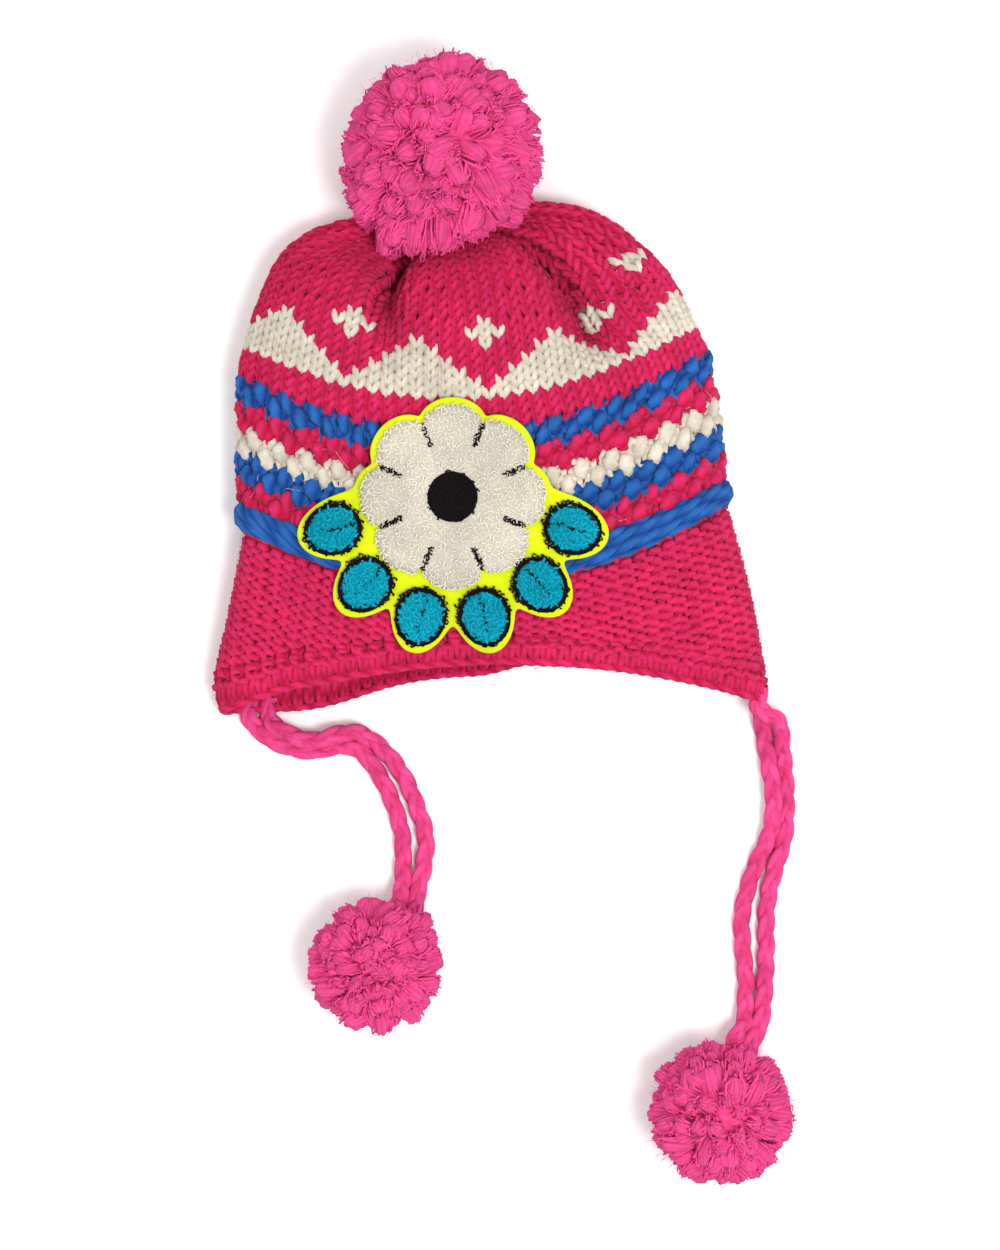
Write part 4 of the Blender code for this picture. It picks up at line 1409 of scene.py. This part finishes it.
@dataclass
class LooseHairs(HatPiece):
    """Fine hairs that stand out of the knitting."""

    dye: Dye
    low: str
    high: str
    count: int
    seed: int
    lift: float = 0.0024
    stands_out: float = 0.0016
    radius: float = 0.00006
    # How far hairs wander in rows and in turns, and how far they bend in turns
    wander: tuple[float, float, float] = (0.28, 0.007, 0.006)

    def build(self) -> None:
        """Scatter the hairs over a part of the hat."""
        chance = np.random.default_rng(self.seed)
        rows = chance.uniform(ROUND_AT[self.low] + 0.1, ROUND_AT[self.high] - 0.1, self.count)
        turns = chance.uniform(0.0, 1.0, self.count)
        steps = np.linspace(0.0, 1.0, 5)[None, :]
        climb, along, bend = (chance.normal(0.0, spread, self.count)[:, None]
                              for spread in self.wander)
        points, normals = self.surface.place(
            rows[:, None] + climb * steps, turns[:, None] + along * steps + bend * steps ** 2)
        arch = chance.uniform(0.0, self.stands_out, self.count)[:, None]
        height = self.lift + arch * np.sin(math.pi * steps)
        centres = points + normals * height[..., None]
        centres[..., 2] = np.maximum(centres[..., 2], 0.0004)
        hairs = YarnMesh(f"loose_hairs_{self.dye.name.lower()}_{self.low}", 3)
        hairs.add(centres, normals, np.full(centres.shape[:2], self.radius))
        hairs.build(FIBRE[self.dye])


def even_directions(count: int, seed: int, unevenness: float) -> np.ndarray:
    """Spread directions over a sphere.

    Args:
        count: How many.
        seed: Starts the random numbers.
        unevenness: How far they stray from even, in spacings.

    Returns:
        Unit vectors.
    """
    index = np.arange(count) + 0.5
    heights = 1.0 - 2.0 * index / count
    flat = circle(-GOLDEN_ANGLE * index) * np.sqrt(1.0 - heights ** 2)[:, None]
    found = np.column_stack((flat, heights))
    return unit(found + np.random.default_rng(seed).normal(
        0.0, unevenness / math.sqrt(count), found.shape))


@dataclass
class Pompom(HatPiece):
    """A yarn pompom: matted locks of yarn ends on a round core, with fine loose fibres."""

    name: str
    node: str
    centre: np.ndarray
    radius: float
    locks: int
    lock_radius: float
    seed: int
    strands: int
    fibres: int
    on_crown: bool = False
    tuft: tuple[float, float, float] = (0.0, 0.0, 0.0)
    tuft_growth: float = 0.24
    root_share: float = 0.62
    core_share: float = 0.74
    core_points: int = 13
    # Least and greatest reach of locks and fibres, and width of locks
    lock_reach: tuple[float, float] = (0.86, 0.97)
    fibre_reach: tuple[float, float] = (0.86, 1.0)
    lock_width: tuple[float, float] = (0.8, 1.25)
    lock_flatten: float = 0.74
    lock_ragged: float = 0.20
    floor_gap: float = 0.0006
    # Places along a lock, and its width there as a share of its own radius
    lock_steps: tuple[float, ...] = (0.0, 0.20, 0.40, 0.58, 0.73, 0.86, 0.95, 1.0)
    lock_swell: tuple[float, ...] = (0.60, 0.74, 0.84, 0.90, 0.92, 0.84, 0.62, 0.08)
    # How far a lock leans at random and how far it falls, in its own radii
    drift_share: float = 0.75
    fall_share: float = 1.9
    # Points of a lock that its strands follow, and the strands' radii there
    strand_points: tuple[int, ...] = (2, 4, 6, 7)
    strand_radii: tuple[float, ...] = (0.00062, 0.00064, 0.00058, 0.00034)
    strand_stray: float = 0.00035
    fibre_radii: tuple[float, ...] = (0.00011, 0.00009, 0.00004)
    fibre_drift: float = 0.0012

    def _reach_limit(self, directions: np.ndarray) -> np.ndarray:
        """Find how far yarn may reach before the floor or the crown stops it.

        Args:
            directions: Unit vectors from the middle.

        Returns:
            Distances in metres.
        """
        floor = (self.centre[2] - self.floor_gap) / np.maximum(-directions[:, 2], 1e-6)
        to_crown = -directions @ unit(np.array(self.surface.pompom_lean))
        pressed = self.on_crown & (to_crown > 0.5)
        return np.where(pressed, np.minimum(floor, self.surface.pompom_seat), floor)

    def build(self) -> bpy.types.Object:
        """Tie the pompom.

        Returns:
            Its locks and core, as one piece.
        """
        chance = np.random.default_rng(self.seed)
        tips = even_directions(self.locks, self.seed, 0.9)
        reach = self.radius * chance.uniform(*self.lock_reach, self.locks) - 0.15 * self.lock_radius
        reach *= 1.0 + self.tuft_growth * np.maximum(tips @ np.array(self.tuft), 0.0) ** 10
        limit = self._reach_limit(tips)
        reach = np.minimum(reach, limit - 0.5 * self.lock_radius)
        drift = chance.normal(0.0, 1.0, (self.locks, 3))
        drift -= tips * np.sum(drift * tips, axis=1, keepdims=True)
        steps, swell = np.array(self.lock_steps), np.array(self.lock_swell)
        root = np.minimum(self.root_share * self.radius, reach * 0.75)
        spans = root[:, None] + (reach - root)[:, None] * steps
        fallen = tips * tips[:, 2:] - UP
        bend = (self.drift_share * drift + self.fall_share * fallen) * self.lock_radius
        centres = (self.centre + tips[:, None] * spans[..., None]
                   + bend[:, None] * (steps ** 2)[:, None])
        size = self.lock_radius * chance.uniform(*self.lock_width, (self.locks, 1))
        radii = size * swell * chance.uniform(0.95, 1.05, (self.locks, len(steps)))
        side = unit(np.cross(tips, unit(chance.normal(0.0, 1.0, (self.locks, 3)))))
        centres = above_floor(centres, radii)
        yarn = YarnMesh(self.name, 7)
        yarn.add(centres, side[:, None], radii, flatten=self.lock_flatten,
                 ragged=self.lock_ragged)
        self._core(yarn)
        made = yarn.build(POMPOM, self.node)
        self._strands(chance, tips, centres, radii, limit - reach)
        self._loose_fibres(chance)
        return made

    def _core(self, yarn: YarnMesh) -> None:
        """Add the round core as one short fat yarn.

        Args:
            yarn: The pompom's mesh.
        """
        steps = np.linspace(0.0, math.pi, self.core_points)
        core = self.radius * self.core_share
        low = max(self.centre[2] - core, 0.0008)
        centres = np.tile(self.centre, (self.core_points, 1))
        centres[:, 2] = low + (self.centre[2] + core - low) * 0.5 * (1.0 - np.cos(steps))
        yarn.add(centres[None], np.array((1.0, 0.0, 0.0)), core * np.sin(steps)[None] + 1e-5)

    def _strands(self, chance: np.random.Generator, tips: np.ndarray, centres: np.ndarray,
                 radii: np.ndarray, room: np.ndarray) -> None:
        """Lay fine strands along each lock, which spread out at its end.

        Args:
            chance: The pompom's random numbers.
            tips: Direction of each lock.
            centres: Points of each lock's middle.
            radii: Radius of each lock at its points.
            room: How much farther each lock could reach.
        """
        lock = np.repeat(np.arange(self.locks), self.strands)
        count = len(lock)
        across = unit(np.cross(tips, ASIDE))[lock]
        spin = chance.uniform(0.0, math.tau, count)[:, None]
        side = across * np.cos(spin) + np.cross(tips[lock], across) * np.sin(spin)
        past = np.minimum(chance.uniform(-0.0022, 0.0006, count), np.maximum(room[lock], 0.0))
        widest = radii[lock].max(axis=1)
        spread = np.column_stack((
            1.00 * radii[lock, 2], 1.04 * radii[lock, 4],
            widest * chance.uniform(0.74, 0.98, count), widest * chance.uniform(0.30, 1.02, count)))
        points = centres[lock][:, self.strand_points] + side[:, None] * spread[..., None]
        points[:, 3] += tips[lock] * past[:, None]
        points[:, 1:] += chance.normal(0.0, self.strand_stray, points[:, 1:].shape)
        size = np.array(self.strand_radii) * chance.uniform(0.75, 1.2, (count, 1))
        points[..., 2] = np.maximum(points[..., 2], self.floor_gap)
        strands = YarnMesh(f"{self.name}_strands", 3)
        strands.add(points, side[:, None], size)
        strands.build(FIBRE[Dye.PINK])

    def _loose_fibres(self, chance: np.random.Generator) -> None:
        """Add fine fibres that stand out from the locks.

        Args:
            chance: The pompom's random numbers.
        """
        tips = unit(chance.normal(0.0, 1.0, (self.fibres, 3)))
        limit = self._reach_limit(tips)
        start = np.minimum(self.radius * chance.uniform(*self.fibre_reach, self.fibres), limit * 0.9)
        drift = chance.normal(0.0, 1.0, (self.fibres, 3))
        steps = np.linspace(0.0, 1.0, 3)[:, None]
        length = np.minimum(chance.uniform(0.0008, 0.0026, self.fibres), limit - start - FLOOR_GAP)
        length = np.maximum(length, 0.0004)[:, None, None]
        centres = (self.centre + tips[:, None] * (start[:, None, None] + length * steps)
                   + drift[:, None] * (self.fibre_drift * steps))
        centres[..., 2] = np.maximum(centres[..., 2], FLOOR_GAP)
        fibres = YarnMesh(f"{self.name}_fibres", 3)
        fibres.add(centres, unit(np.cross(tips, ASIDE))[:, None],
                   np.broadcast_to(np.array(self.fibre_radii), centres.shape[:2]))
        fibres.build(FIBRE[Dye.PINK])


@dataclass
class BraidedTie(HatPiece):
    """Two braided strands from a flap to a small pompom."""

    tie: Tie
    diameter: float = 0.0066
    gap: float = 0.0005
    stub: float = 0.0035
    lead_in: float = 0.0070
    entry_slope: float = 24.0
    exit_spread: float = 0.014
    valley_share: float = 0.80
    braid_period: float = 0.031
    strand_radius: float = 0.00215
    swing: float = 0.0021
    point_step: float = 0.0011
    tucked_points: int = 6

    def hem_exit(self, turn: float) -> np.ndarray:
        """Find the place just past the hem where a strand leaves it.

        Args:
            turn: Turn of the exit.

        Returns:
            The point.
        """
        middle, _ = self.surface.place(np.zeros(1), np.array((turn,)))
        turns = turn + np.linspace(-self.exit_spread, self.exit_spread, 15)
        nearby, _ = self.surface.place(np.zeros(15), turns)
        height = max(middle[0, 2], 0.5 * self.diameter)
        return np.array((middle[0, 0], nearby[:, 1].min() - self.gap, height))

    def pompom_centre(self) -> np.ndarray:
        """Return the middle of the tie's pompom."""
        start = self.hem_exit(self.tie.exit_turns[0])
        return np.array((*(start[:2] + self.tie.pompom_offset), self.tie.pompom_height))

    def route(self, index: int) -> np.ndarray:
        """Return one strand's smooth route.

        Args:
            index: 0 for the first strand, 1 for the second.

        Returns:
            Evenly spaced points, from the hem to the pompom.
        """
        base, start = (self.hem_exit(self.tie.exit_turns[number]) for number in (0, index))
        slope = math.radians(-self.entry_slope)
        level = circle(np.radians([self.tie.entry_turn]))[0] * math.cos(slope)
        direction = np.array((*level, math.sin(slope)))
        sideways = unit(np.cross(direction, UP))
        neck = self.tie.pompom_radius * self.valley_share + self.gap
        apart = (0.5 * self.diameter + self.gap) * (-1.0 if index == 0 else 1.0)
        end = self.pompom_centre() + direction * neck + sideways * apart
        knots = [start, start + np.array((0.0, -self.stub, 0.0))]
        knots += [np.array((base[0] + x, base[1] + y, z)) for x, y, z in self.tie.routes[index]]
        knots += [end + direction * self.lead_in, end]
        ends = np.array([2 * knots[0] - knots[1], *knots, 2 * knots[-1] - knots[-2]])
        dense = [curve_point(ends[number:number + 4], part)
                 for number in range(len(knots) - 1)
                 for part in np.linspace(0.0, 1.0, 24, endpoint=False)]
        dense = np.array(dense + [end])
        length = distances_along(dense)[-1]
        return respaced(dense, np.linspace(0.0, length, int(length / self.point_step)))

    def braid(self, index: int, pompom: bpy.types.Object) -> None:
        """Braid one strand of three yarns along its route.

        Args:
            index: 0 for the first strand, 1 for the second.
            pompom: The pompom at its end; not used.
        """
        route = self.route(index)
        tucked = np.arange(self.tucked_points, 0, -1)[:, None] * (0.0, self.point_step, 0.0)
        centre = np.vstack((route[0] + tucked, route))
        tangents = unit(np.gradient(centre, axis=0))
        sideways = unit(np.cross(tangents, UP))
        upright = np.cross(sideways, tangents)
        walked = np.arange(len(centre)) * self.point_step
        phase = math.tau * (walked / self.braid_period + np.arange(3)[:, None] / 3.0 + 0.37 * index)
        across = self.swing * np.sin(phase)
        over = 0.62 * self.swing * np.sin(2.0 * phase)
        yarn = YarnMesh(f"tie_{self.tie.side}_braid_{'ab'[index]}", 8)
        yarn.add(centre + sideways * across[..., None] + upright * over[..., None], upright,
                 self.strand_radius * (1.0 + 0.10 * np.cos(2.0 * phase + index)))
        made = yarn.build(BRAID, f"tie_{self.tie.side}_{'ab'[index]}")

    def build(self) -> None:
        """Make the pompom and braid both strands."""
        side = self.tie.side
        pompom = Pompom(self.surface, f"tie_{side}_pompom", f"tie_pompom_{side}",
                        self.pompom_centre(), self.tie.pompom_radius, 220, 0.0041,
                        seed=21 if side == "left" else 22, strands=14, fibres=500).build()
        for index in (0, 1):
            self.braid(index, pompom)


@dataclass
class Front:
    """Height of the hat's front, for what is sewn on it."""

    surface: HatSurface
    stands_out: float = 0.0042

    def __post_init__(self) -> None:
        """Build the search tree of the front's outer side."""
        rows = np.linspace(0.0, ROUND_AT["shoulder"], 90)
        turns = np.linspace(-0.02, 0.52, 130)
        grid_rows, grid_turns = np.meshgrid(rows, turns, indexing="ij")
        points, normals = self.surface.place(grid_rows, grid_turns)
        outer = points + normals * self.stands_out
        index = np.arange(outer.shape[0] * outer.shape[1]).reshape(outer.shape[:2])
        quads = np.stack(
            (index[:-1, :-1], index[:-1, 1:], index[1:, 1:], index[1:, :-1]), axis=-1)
        self.tree = BVHTree.FromPolygons(
            [tuple(point) for point in outer.reshape(-1, 3)], quads.reshape(-1, 4).tolist())

    def heights(self, places: np.ndarray) -> np.ndarray:
        """Find the front's height at places.

        Args:
            places: X and Y of each place.

        Returns:
            Heights in metres, 0 beside the hat.
        """
        down = Vector((0.0, 0.0, -1.0))
        hits = (self.tree.ray_cast(Vector((x, y, 1.0)), down)[0] for x, y in places)
        return np.array([hit.z if hit else 0.0 for hit in hits])


@dataclass
class FlowerPatch(HatPiece):
    """The sewn patch: a felt base under a looped flower and six looped leaves."""

    across: float = -0.056
    up: float = 0.427
    felt_low: float = 0.0009
    felt_thickness: float = 0.0016
    felt_margin: float = 0.0032
    pile_thickness: float = 0.0032
    flower_radius: float = 0.0400
    petals: int = 8
    petal_depth: float = 0.16
    petal_roundness: float = 0.60
    eye_radius: float = 0.0100
    leaf_root: float = 0.0408
    leaf_tip: float = 0.0665
    leaf_half_width: float = 0.0112
    leaf_narrowing: float = 0.22
    leaf_turns: tuple[float, ...] = (195.0, 225.0, 255.0, 285.0, 315.0, 345.0)
    outline_width: float = 0.0019
    bed_share: float = 0.74
    bed_raise: float = 0.0002
    sewn_edge: float = 0.0004
    loop_spacing: float = 0.00148
    line_half_width: float = 0.0005
    line_from: float = 0.60
    line_loops: int = 14
    leaf_border: float = 0.0018
    # Radius of the loops of each part
    petal_loop: float = 0.00092
    line_loop: float = 0.00088
    eye_loop: float = 0.00105
    leaf_loop: float = 0.00118
    outline_loop: float = 0.00100
    seed: int = 31

    def __post_init__(self) -> None:
        """Find the patch's middle and the front under it."""
        self.middle = np.array((
            self.surface.centre_line_x + self.across * self.surface.body_width,
            self.surface.tip_line_y + self.up * self.surface.hat_length,
        ))
        self.front = Front(self.surface)
        self.chance = np.random.default_rng(self.seed)

    def flower_reach(self, angles: np.ndarray) -> np.ndarray:
        """Return the distances from the middle to the flower's outline at angles."""
        petal = np.abs(np.cos(0.5 * self.petals * angles)) ** self.petal_roundness
        return self.flower_radius * (1.0 - self.petal_depth + self.petal_depth * petal)

    def _leaf_reach(self, angles: np.ndarray, turn: float, near: float, far: float,
                    half_width: float) -> np.ndarray:
        """Return how far rays from the middle reach through a leaf's ellipse.

        Args:
            angles: Directions of the rays, in radians.
            turn: Direction of the leaf, in degrees.
            near: Near end of the ellipse.
            far: Far end of the ellipse.
            half_width: Half of its width.

        Returns:
            Distances, 0 where a ray misses the leaf.
        """
        middle, half_length = 0.5 * (near + far), 0.5 * (far - near)
        off = angles - math.radians(turn)
        across, along = np.sin(off) / half_width, np.cos(off) / half_length
        square = across ** 2 + along ** 2
        lean = along * middle / half_length
        inside = lean ** 2 - square * ((middle / half_length) ** 2 - 1.0)
        hit = (inside > 0.0) & (np.cos(off) > 0.0)
        return np.where(hit, (lean + np.sqrt(np.maximum(inside, 0.0))) / square, 0.0)

    def felt_reach(self, angles: np.ndarray) -> np.ndarray:
        """Find the felt's outline, which follows flower and leaves.

        Args:
            angles: Directions from the middle, in radians.

        Returns:
            Distances to the outline.
        """
        reach = self.flower_reach(angles) + self.felt_margin
        near, far = 0.5 * self.flower_radius, self.leaf_tip + self.felt_margin
        for turn in self.leaf_turns:
            leaf = self._leaf_reach(angles, turn, near, far,
                                    self.leaf_half_width + self.felt_margin)
            reach = np.maximum(reach, leaf)
        return reach

    def build(self) -> None:
        """Sew the patch on."""
        self._felt()
        self._flower()
        for number, turn in enumerate(self.leaf_turns, start=1):
            self._leaf(number, turn)

    def _stacked(self, name: str, middle: np.ndarray, outline: np.ndarray, shares: np.ndarray,
                 levels: list[float]) -> bpy.types.Mesh:
        """Stack rings on the hat's front, each an outline shrunk to its own share.

        Args:
            name: Name of the mesh.
            middle: Middle of the rings.
            outline: The outline from its middle, as X and Y.
            shares: The rings' sizes.
            levels: The rings' heights over the front.

        Returns:
            The mesh.
        """
        rings = []
        for share, level in zip(shares, levels):
            places = middle + outline * share
            rings.append(np.column_stack((places, self.front.heights(places) + level)))
        return ringed_mesh(name, np.array(rings), turned=True)

    def _felt(self) -> None:
        """Cut the felt base with a soft edge."""
        around, rings = 288, 12
        angles = np.arange(around) * math.tau / around
        smooth = self.felt_reach(angles)
        for _ in range(3):
            smooth = 0.25 * np.roll(smooth, 1) + 0.5 * smooth + 0.25 * np.roll(smooth, -1)
        outline = circle(angles) * smooth[:, None]
        top, bottom = self.felt_low + self.felt_thickness, self.felt_low
        mesh = self._stacked(
            "patch_felt_sheet", self.middle, outline,
            np.append(np.linspace(0.02, 0.985, rings), (1.0, 1.0, 0.97)),
            [top] * rings + [top - 0.0005, bottom + self.sewn_edge, bottom])
        made = take_on("patch_felt_sheet", mesh, (FELT,), "patch_felt")

    def _pile(self, name: str, places: np.ndarray, dye: Dye, size: float, *nodes: str) -> None:
        """Set small yarn loops at places on the felt.

        Args:
            name: Name of the piece.
            places: X and Y of each loop.
            dye: The loops' colour.
            size: Radius of a loop.
            nodes: Nodes that the piece stands for.
        """
        count = len(places)
        base = self.front.heights(places) + self.felt_low + self.felt_thickness
        turn = self.chance.uniform(0.0, math.tau, count)
        tilt = self.chance.uniform(-1.1, 1.1, count)
        steps = np.linspace(-0.25, 1.25, 5) * math.pi
        sideways = np.column_stack((circle(turn), np.zeros(count)))
        upright = np.column_stack((
            -np.sin(turn) * np.sin(tilt), np.cos(turn) * np.sin(tilt), np.cos(tilt)))
        radius = size * self.chance.uniform(0.8, 1.25, count)[:, None]
        lifted = base + 0.55 * self.pile_thickness * self.chance.uniform(0.8, 1.2, count)
        middle = np.column_stack((places, lifted))
        centres = (middle[:, None] + sideways[:, None] * (radius * np.cos(steps))[..., None]
                   + upright[:, None] * (radius * np.sin(steps))[..., None])
        yarn = YarnMesh(name, 4)
        yarn.add(centres, np.cross(sideways, upright)[:, None],
                 np.broadcast_to(0.42 * radius, centres.shape[:2]))
        yarn.build(PILE[dye], *nodes)

    def _flower(self) -> None:
        """Set the flower's loops in rows that follow its outline, and its dark eye."""
        spacing, inside = self.loop_spacing, self.eye_radius + 0.0014
        places = []
        for ring in range(int((self.flower_radius - inside) / spacing)):
            share = 1.0 - (ring + 0.4) * spacing / self.flower_radius
            count = int(math.tau * self.flower_radius * share / spacing)
            angles = (np.arange(count) + 0.5 * (ring % 2)) * math.tau / count
            reach = self.flower_reach(angles) * share
            fold = np.abs(np.mod(angles * self.petals / math.tau, 1.0) - 0.5)
            clear = (fold * math.tau / self.petals * reach > 0.0013) | (share < self.line_from)
            kept = (reach >= inside) & clear
            places.append(self.middle + (circle(angles) * reach[:, None])[kept])
        places = np.vstack(places)
        places = places + self.chance.normal(0.0, 0.00022, places.shape)
        self._pile("patch_flower_pile", places, Dye.CREAM, self.petal_loop, "patch_petals")
        shares = np.linspace(self.line_from, 0.99 - self.petal_depth, self.line_loops)
        reach = np.repeat(shares, 2) * self.flower_radius
        beside = np.tile((-self.line_half_width, self.line_half_width), self.line_loops)
        turns = (np.arange(self.petals) + 0.5) * math.tau / self.petals
        lines = [self.middle + np.outer(reach, along) + np.outer(beside, across)
                 for along, across in zip(circle(turns), circle(turns + 0.5 * math.pi))]
        self._pile("patch_petal_lines", np.vstack(lines), Dye.BLACK, self.line_loop)
        self._bed("patch_flower_bed", self.flower_reach, self.middle, Dye.CREAM)
        self._bed("patch_eye_bed", lambda angles: np.full(angles.shape, self.eye_radius + 0.001),
                  self.middle, Dye.BLACK, raised=self.bed_raise)
        eye = self._disc_places(self.middle, self.eye_radius + 0.0008, 0.0016)
        self._pile("patch_eye_pile", eye, Dye.BLACK, self.eye_loop, "patch_eye")

    def _bed(self, name: str, reach: Callable, middle: np.ndarray, dye: Dye,
             raised: float = 0.0) -> None:
        """Lay the ground that loops stand in, darkened as painted shade between the loops.

        Args:
            name: Name of the piece.
            reach: Gives the outline's distance in each direction.
            middle: Middle of the ground.
            dye: Its colour.
            raised: How far it stands above the other grounds.
        """
        around, rings = 96, 8
        angles = np.arange(around) * math.tau / around
        base = self.felt_low + self.felt_thickness + raised
        mesh = self._stacked(
            name, middle, circle(angles) * reach(angles)[:, None],
            np.append(np.linspace(0.02, 0.985, rings), 0.99),
            [base + self.bed_share * self.pile_thickness] * rings + [base - self.sewn_edge])
        mesh.uv_layers.new(name="yarn")
        # Darkened finish: painted shade between the loops
        take_on(name, mesh, (SHADED_GROUND[dye],))

    @staticmethod
    def _disc_places(middle: np.ndarray, radius: float, spacing: float) -> np.ndarray:
        """Spread places evenly over a disc.

        Args:
            middle: Middle of the disc.
            radius: Its radius.
            spacing: Distance from one place to the next.

        Returns:
            X and Y of each place.
        """
        count = int(3.3 * (radius / spacing) ** 2)
        index = np.arange(count) + 0.5
        return middle + circle(-GOLDEN_ANGLE * index) * radius * np.sqrt(index / count)[:, None]

    def _leaf(self, number: int, turn: float) -> None:
        """Set one leaf's loops, its dark outline and its vein.

        Args:
            number: Number of the leaf.
            turn: Its direction, in degrees.
        """
        name = f"patch_leaf_{number}"
        along, beside = circle(np.radians((turn, turn + 90.0)))
        half_length = 0.5 * (self.leaf_tip - self.leaf_root)
        middle = self.middle + along * 0.5 * (self.leaf_tip + self.leaf_root)
        disc = self._disc_places(np.zeros(2), 1.0, 0.112)
        width = self.leaf_half_width * (1.0 - self.leaf_narrowing * disc[:, :1])
        places = middle + disc[:, :1] * along * half_length + disc[:, 1:] * beside * width
        border = np.linalg.norm(disc, axis=1) > 1.0 - self.outline_width / self.leaf_half_width
        dark = border | (np.abs(disc[:, 1]) < 0.07) & (disc[:, 0] < 0.45)
        places = places + self.chance.normal(0.0, 0.0002, places.shape)
        self._pile(f"{name}_pile", places[~dark], Dye.TURQUOISE, self.leaf_loop, name)
        self._pile(f"{name}_outline", places[dark], Dye.BLACK, self.outline_loop)

        def ellipse(angles: np.ndarray) -> np.ndarray:
            """Return the leaf's outline seen from its own middle."""
            parts = circle(angles - math.radians(turn)) / (half_length, self.leaf_half_width)
            return 1.0 / np.linalg.norm(parts, axis=1)

        self._bed(f"{name}_bed", ellipse, middle, Dye.BLACK)
        self._bed(f"{name}_ground", lambda angles: ellipse(angles) - self.leaf_border,
                  middle, Dye.TURQUOISE, raised=self.bed_raise)


class Studio:
    """Plain pale floor, soft light and the camera of the photograph."""

    camera_height = 1.5
    sensor = 36.0
    floor_half = 3.0
    white = (1.0, 1.0, 1.0, 1.0)
    paper_white = (0.98, 0.98, 0.98, 1.0)
    room_strength = 0.80
    # Place, size and power of each light
    lights = {
        "key_light": ((0.46, -0.42, 1.6), 0.5, 18.0),
        "fill_light": ((-0.7, 0.4, 1.5), 1.4, 5.0),
    }

    def build(self) -> None:
        """Set up the floor, the lights and the camera."""
        self._camera()
        self._floor()
        self._lights()
        bpy.context.scene.view_settings.view_transform = "Standard"

    def _camera(self) -> None:
        """Look straight down at the hat, over the middle of the photograph."""
        data = bpy.data.cameras.new("photo_camera")
        data.sensor_width = self.sensor
        frame_height = PHOTO_HEIGHT * METRES_PER_PIXEL
        data.lens = self.sensor * (self.camera_height - FRONT_HEIGHT) / frame_height
        camera = link("photo_camera", data)
        camera.location = (
            (0.5 * PHOTO_WIDTH - MIDDLE_X_PIXEL) * METRES_PER_PIXEL,
            (MIDDLE_Y_PIXEL - 0.5 * PHOTO_HEIGHT) * METRES_PER_PIXEL,
            self.camera_height,
        )
        bpy.context.scene.camera = camera

    def _floor(self) -> None:
        """Lay the white surface that the hat lies on."""
        signs = ((-1, -1, 0), (1, -1, 0), (1, 1, 0), (-1, 1, 0))
        mesh = mesh_from_arrays("floor", self.floor_half * np.array(signs), np.arange(4)[None])
        paper, shader, pen = new_material("white_paper")
        pen.fill(shader, {"Base Color": self.paper_white, "Roughness": 0.9,
                          "Specular IOR Level": 0.1})
        link("floor", mesh, paper)

    def _lights(self) -> None:
        """Hang one big soft light and fill the room with even light."""
        world = bpy.data.worlds.new("studio")
        bpy.context.scene.world = world
        world.use_nodes = True
        NodePen(world.node_tree).fill(world.node_tree.nodes["Background"], {
            "Color": self.white, "Strength": self.room_strength})
        for name, (place, size, power) in self.lights.items():
            data = bpy.data.lights.new(name, "AREA")
            data.size = size
            data.energy = power
            light = link(name, data)
            light.location = place
            light.rotation_euler = (-Vector(place)).to_track_quat("-Z", "Y").to_euler()


def build_knit(surface: HatSurface) -> None:
    """Knit the hat from the hem up.

    Args:
        surface: The hat's surface.
    """
    for section in (PaintedShadeSheet, SkirtAndTrim, RopeBand):
        section(surface).build()
    BumpBand(surface, "seed_band", "seed_stripes", "blue_top", "ridge_low",
             (Dye.RASPBERRY, Dye.BLUE, Dye.CREAM, Dye.RASPBERRY), stagger=0.24,
             half_height=0.37, lean=0.30, radius=0.0033, lift=0.0012).build()
    BumpBand(surface, "upper_ridge", "upper_blue_ridge", "ridge_low", "ridge_top", (Dye.BLUE,),
             stagger=0.17, half_height=0.38, lean=0.55, radius=0.0028, lift=0.0024).build()
    Crown(surface).build()
    for seed, (dye, low, high, count) in enumerate((
            (Dye.RASPBERRY, "hem", "blue_low", 450), (Dye.BLUE, "blue_low", "blue_top", 160),
            (Dye.CREAM, "blue_top", "ridge_low", 60), (Dye.RASPBERRY, "ridge_top", "inner", 400)),
            start=60):
        LooseHairs(surface, dye, low, high, count, seed).build()


def main() -> None:
    """Load the solids, then build and dress each piece in order."""
    logging.basicConfig(level=logging.INFO, format="%(message)s")
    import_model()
    Studio().build()
    surface = HatSurface()
    for tie in TIES:
        BraidedTie(surface, tie).build()
    build_knit(surface)
    Pompom(surface, "crown_pompom", "top_pompom", surface.pompom_centre(), 0.0440, 320,
           0.0058, seed=5, strands=24, fibres=1600, on_crown=True,
           tuft=(-0.68, -0.72, 0.14)).build()
    FlowerPatch(surface).build()


if __name__ == "__main__":
    main()
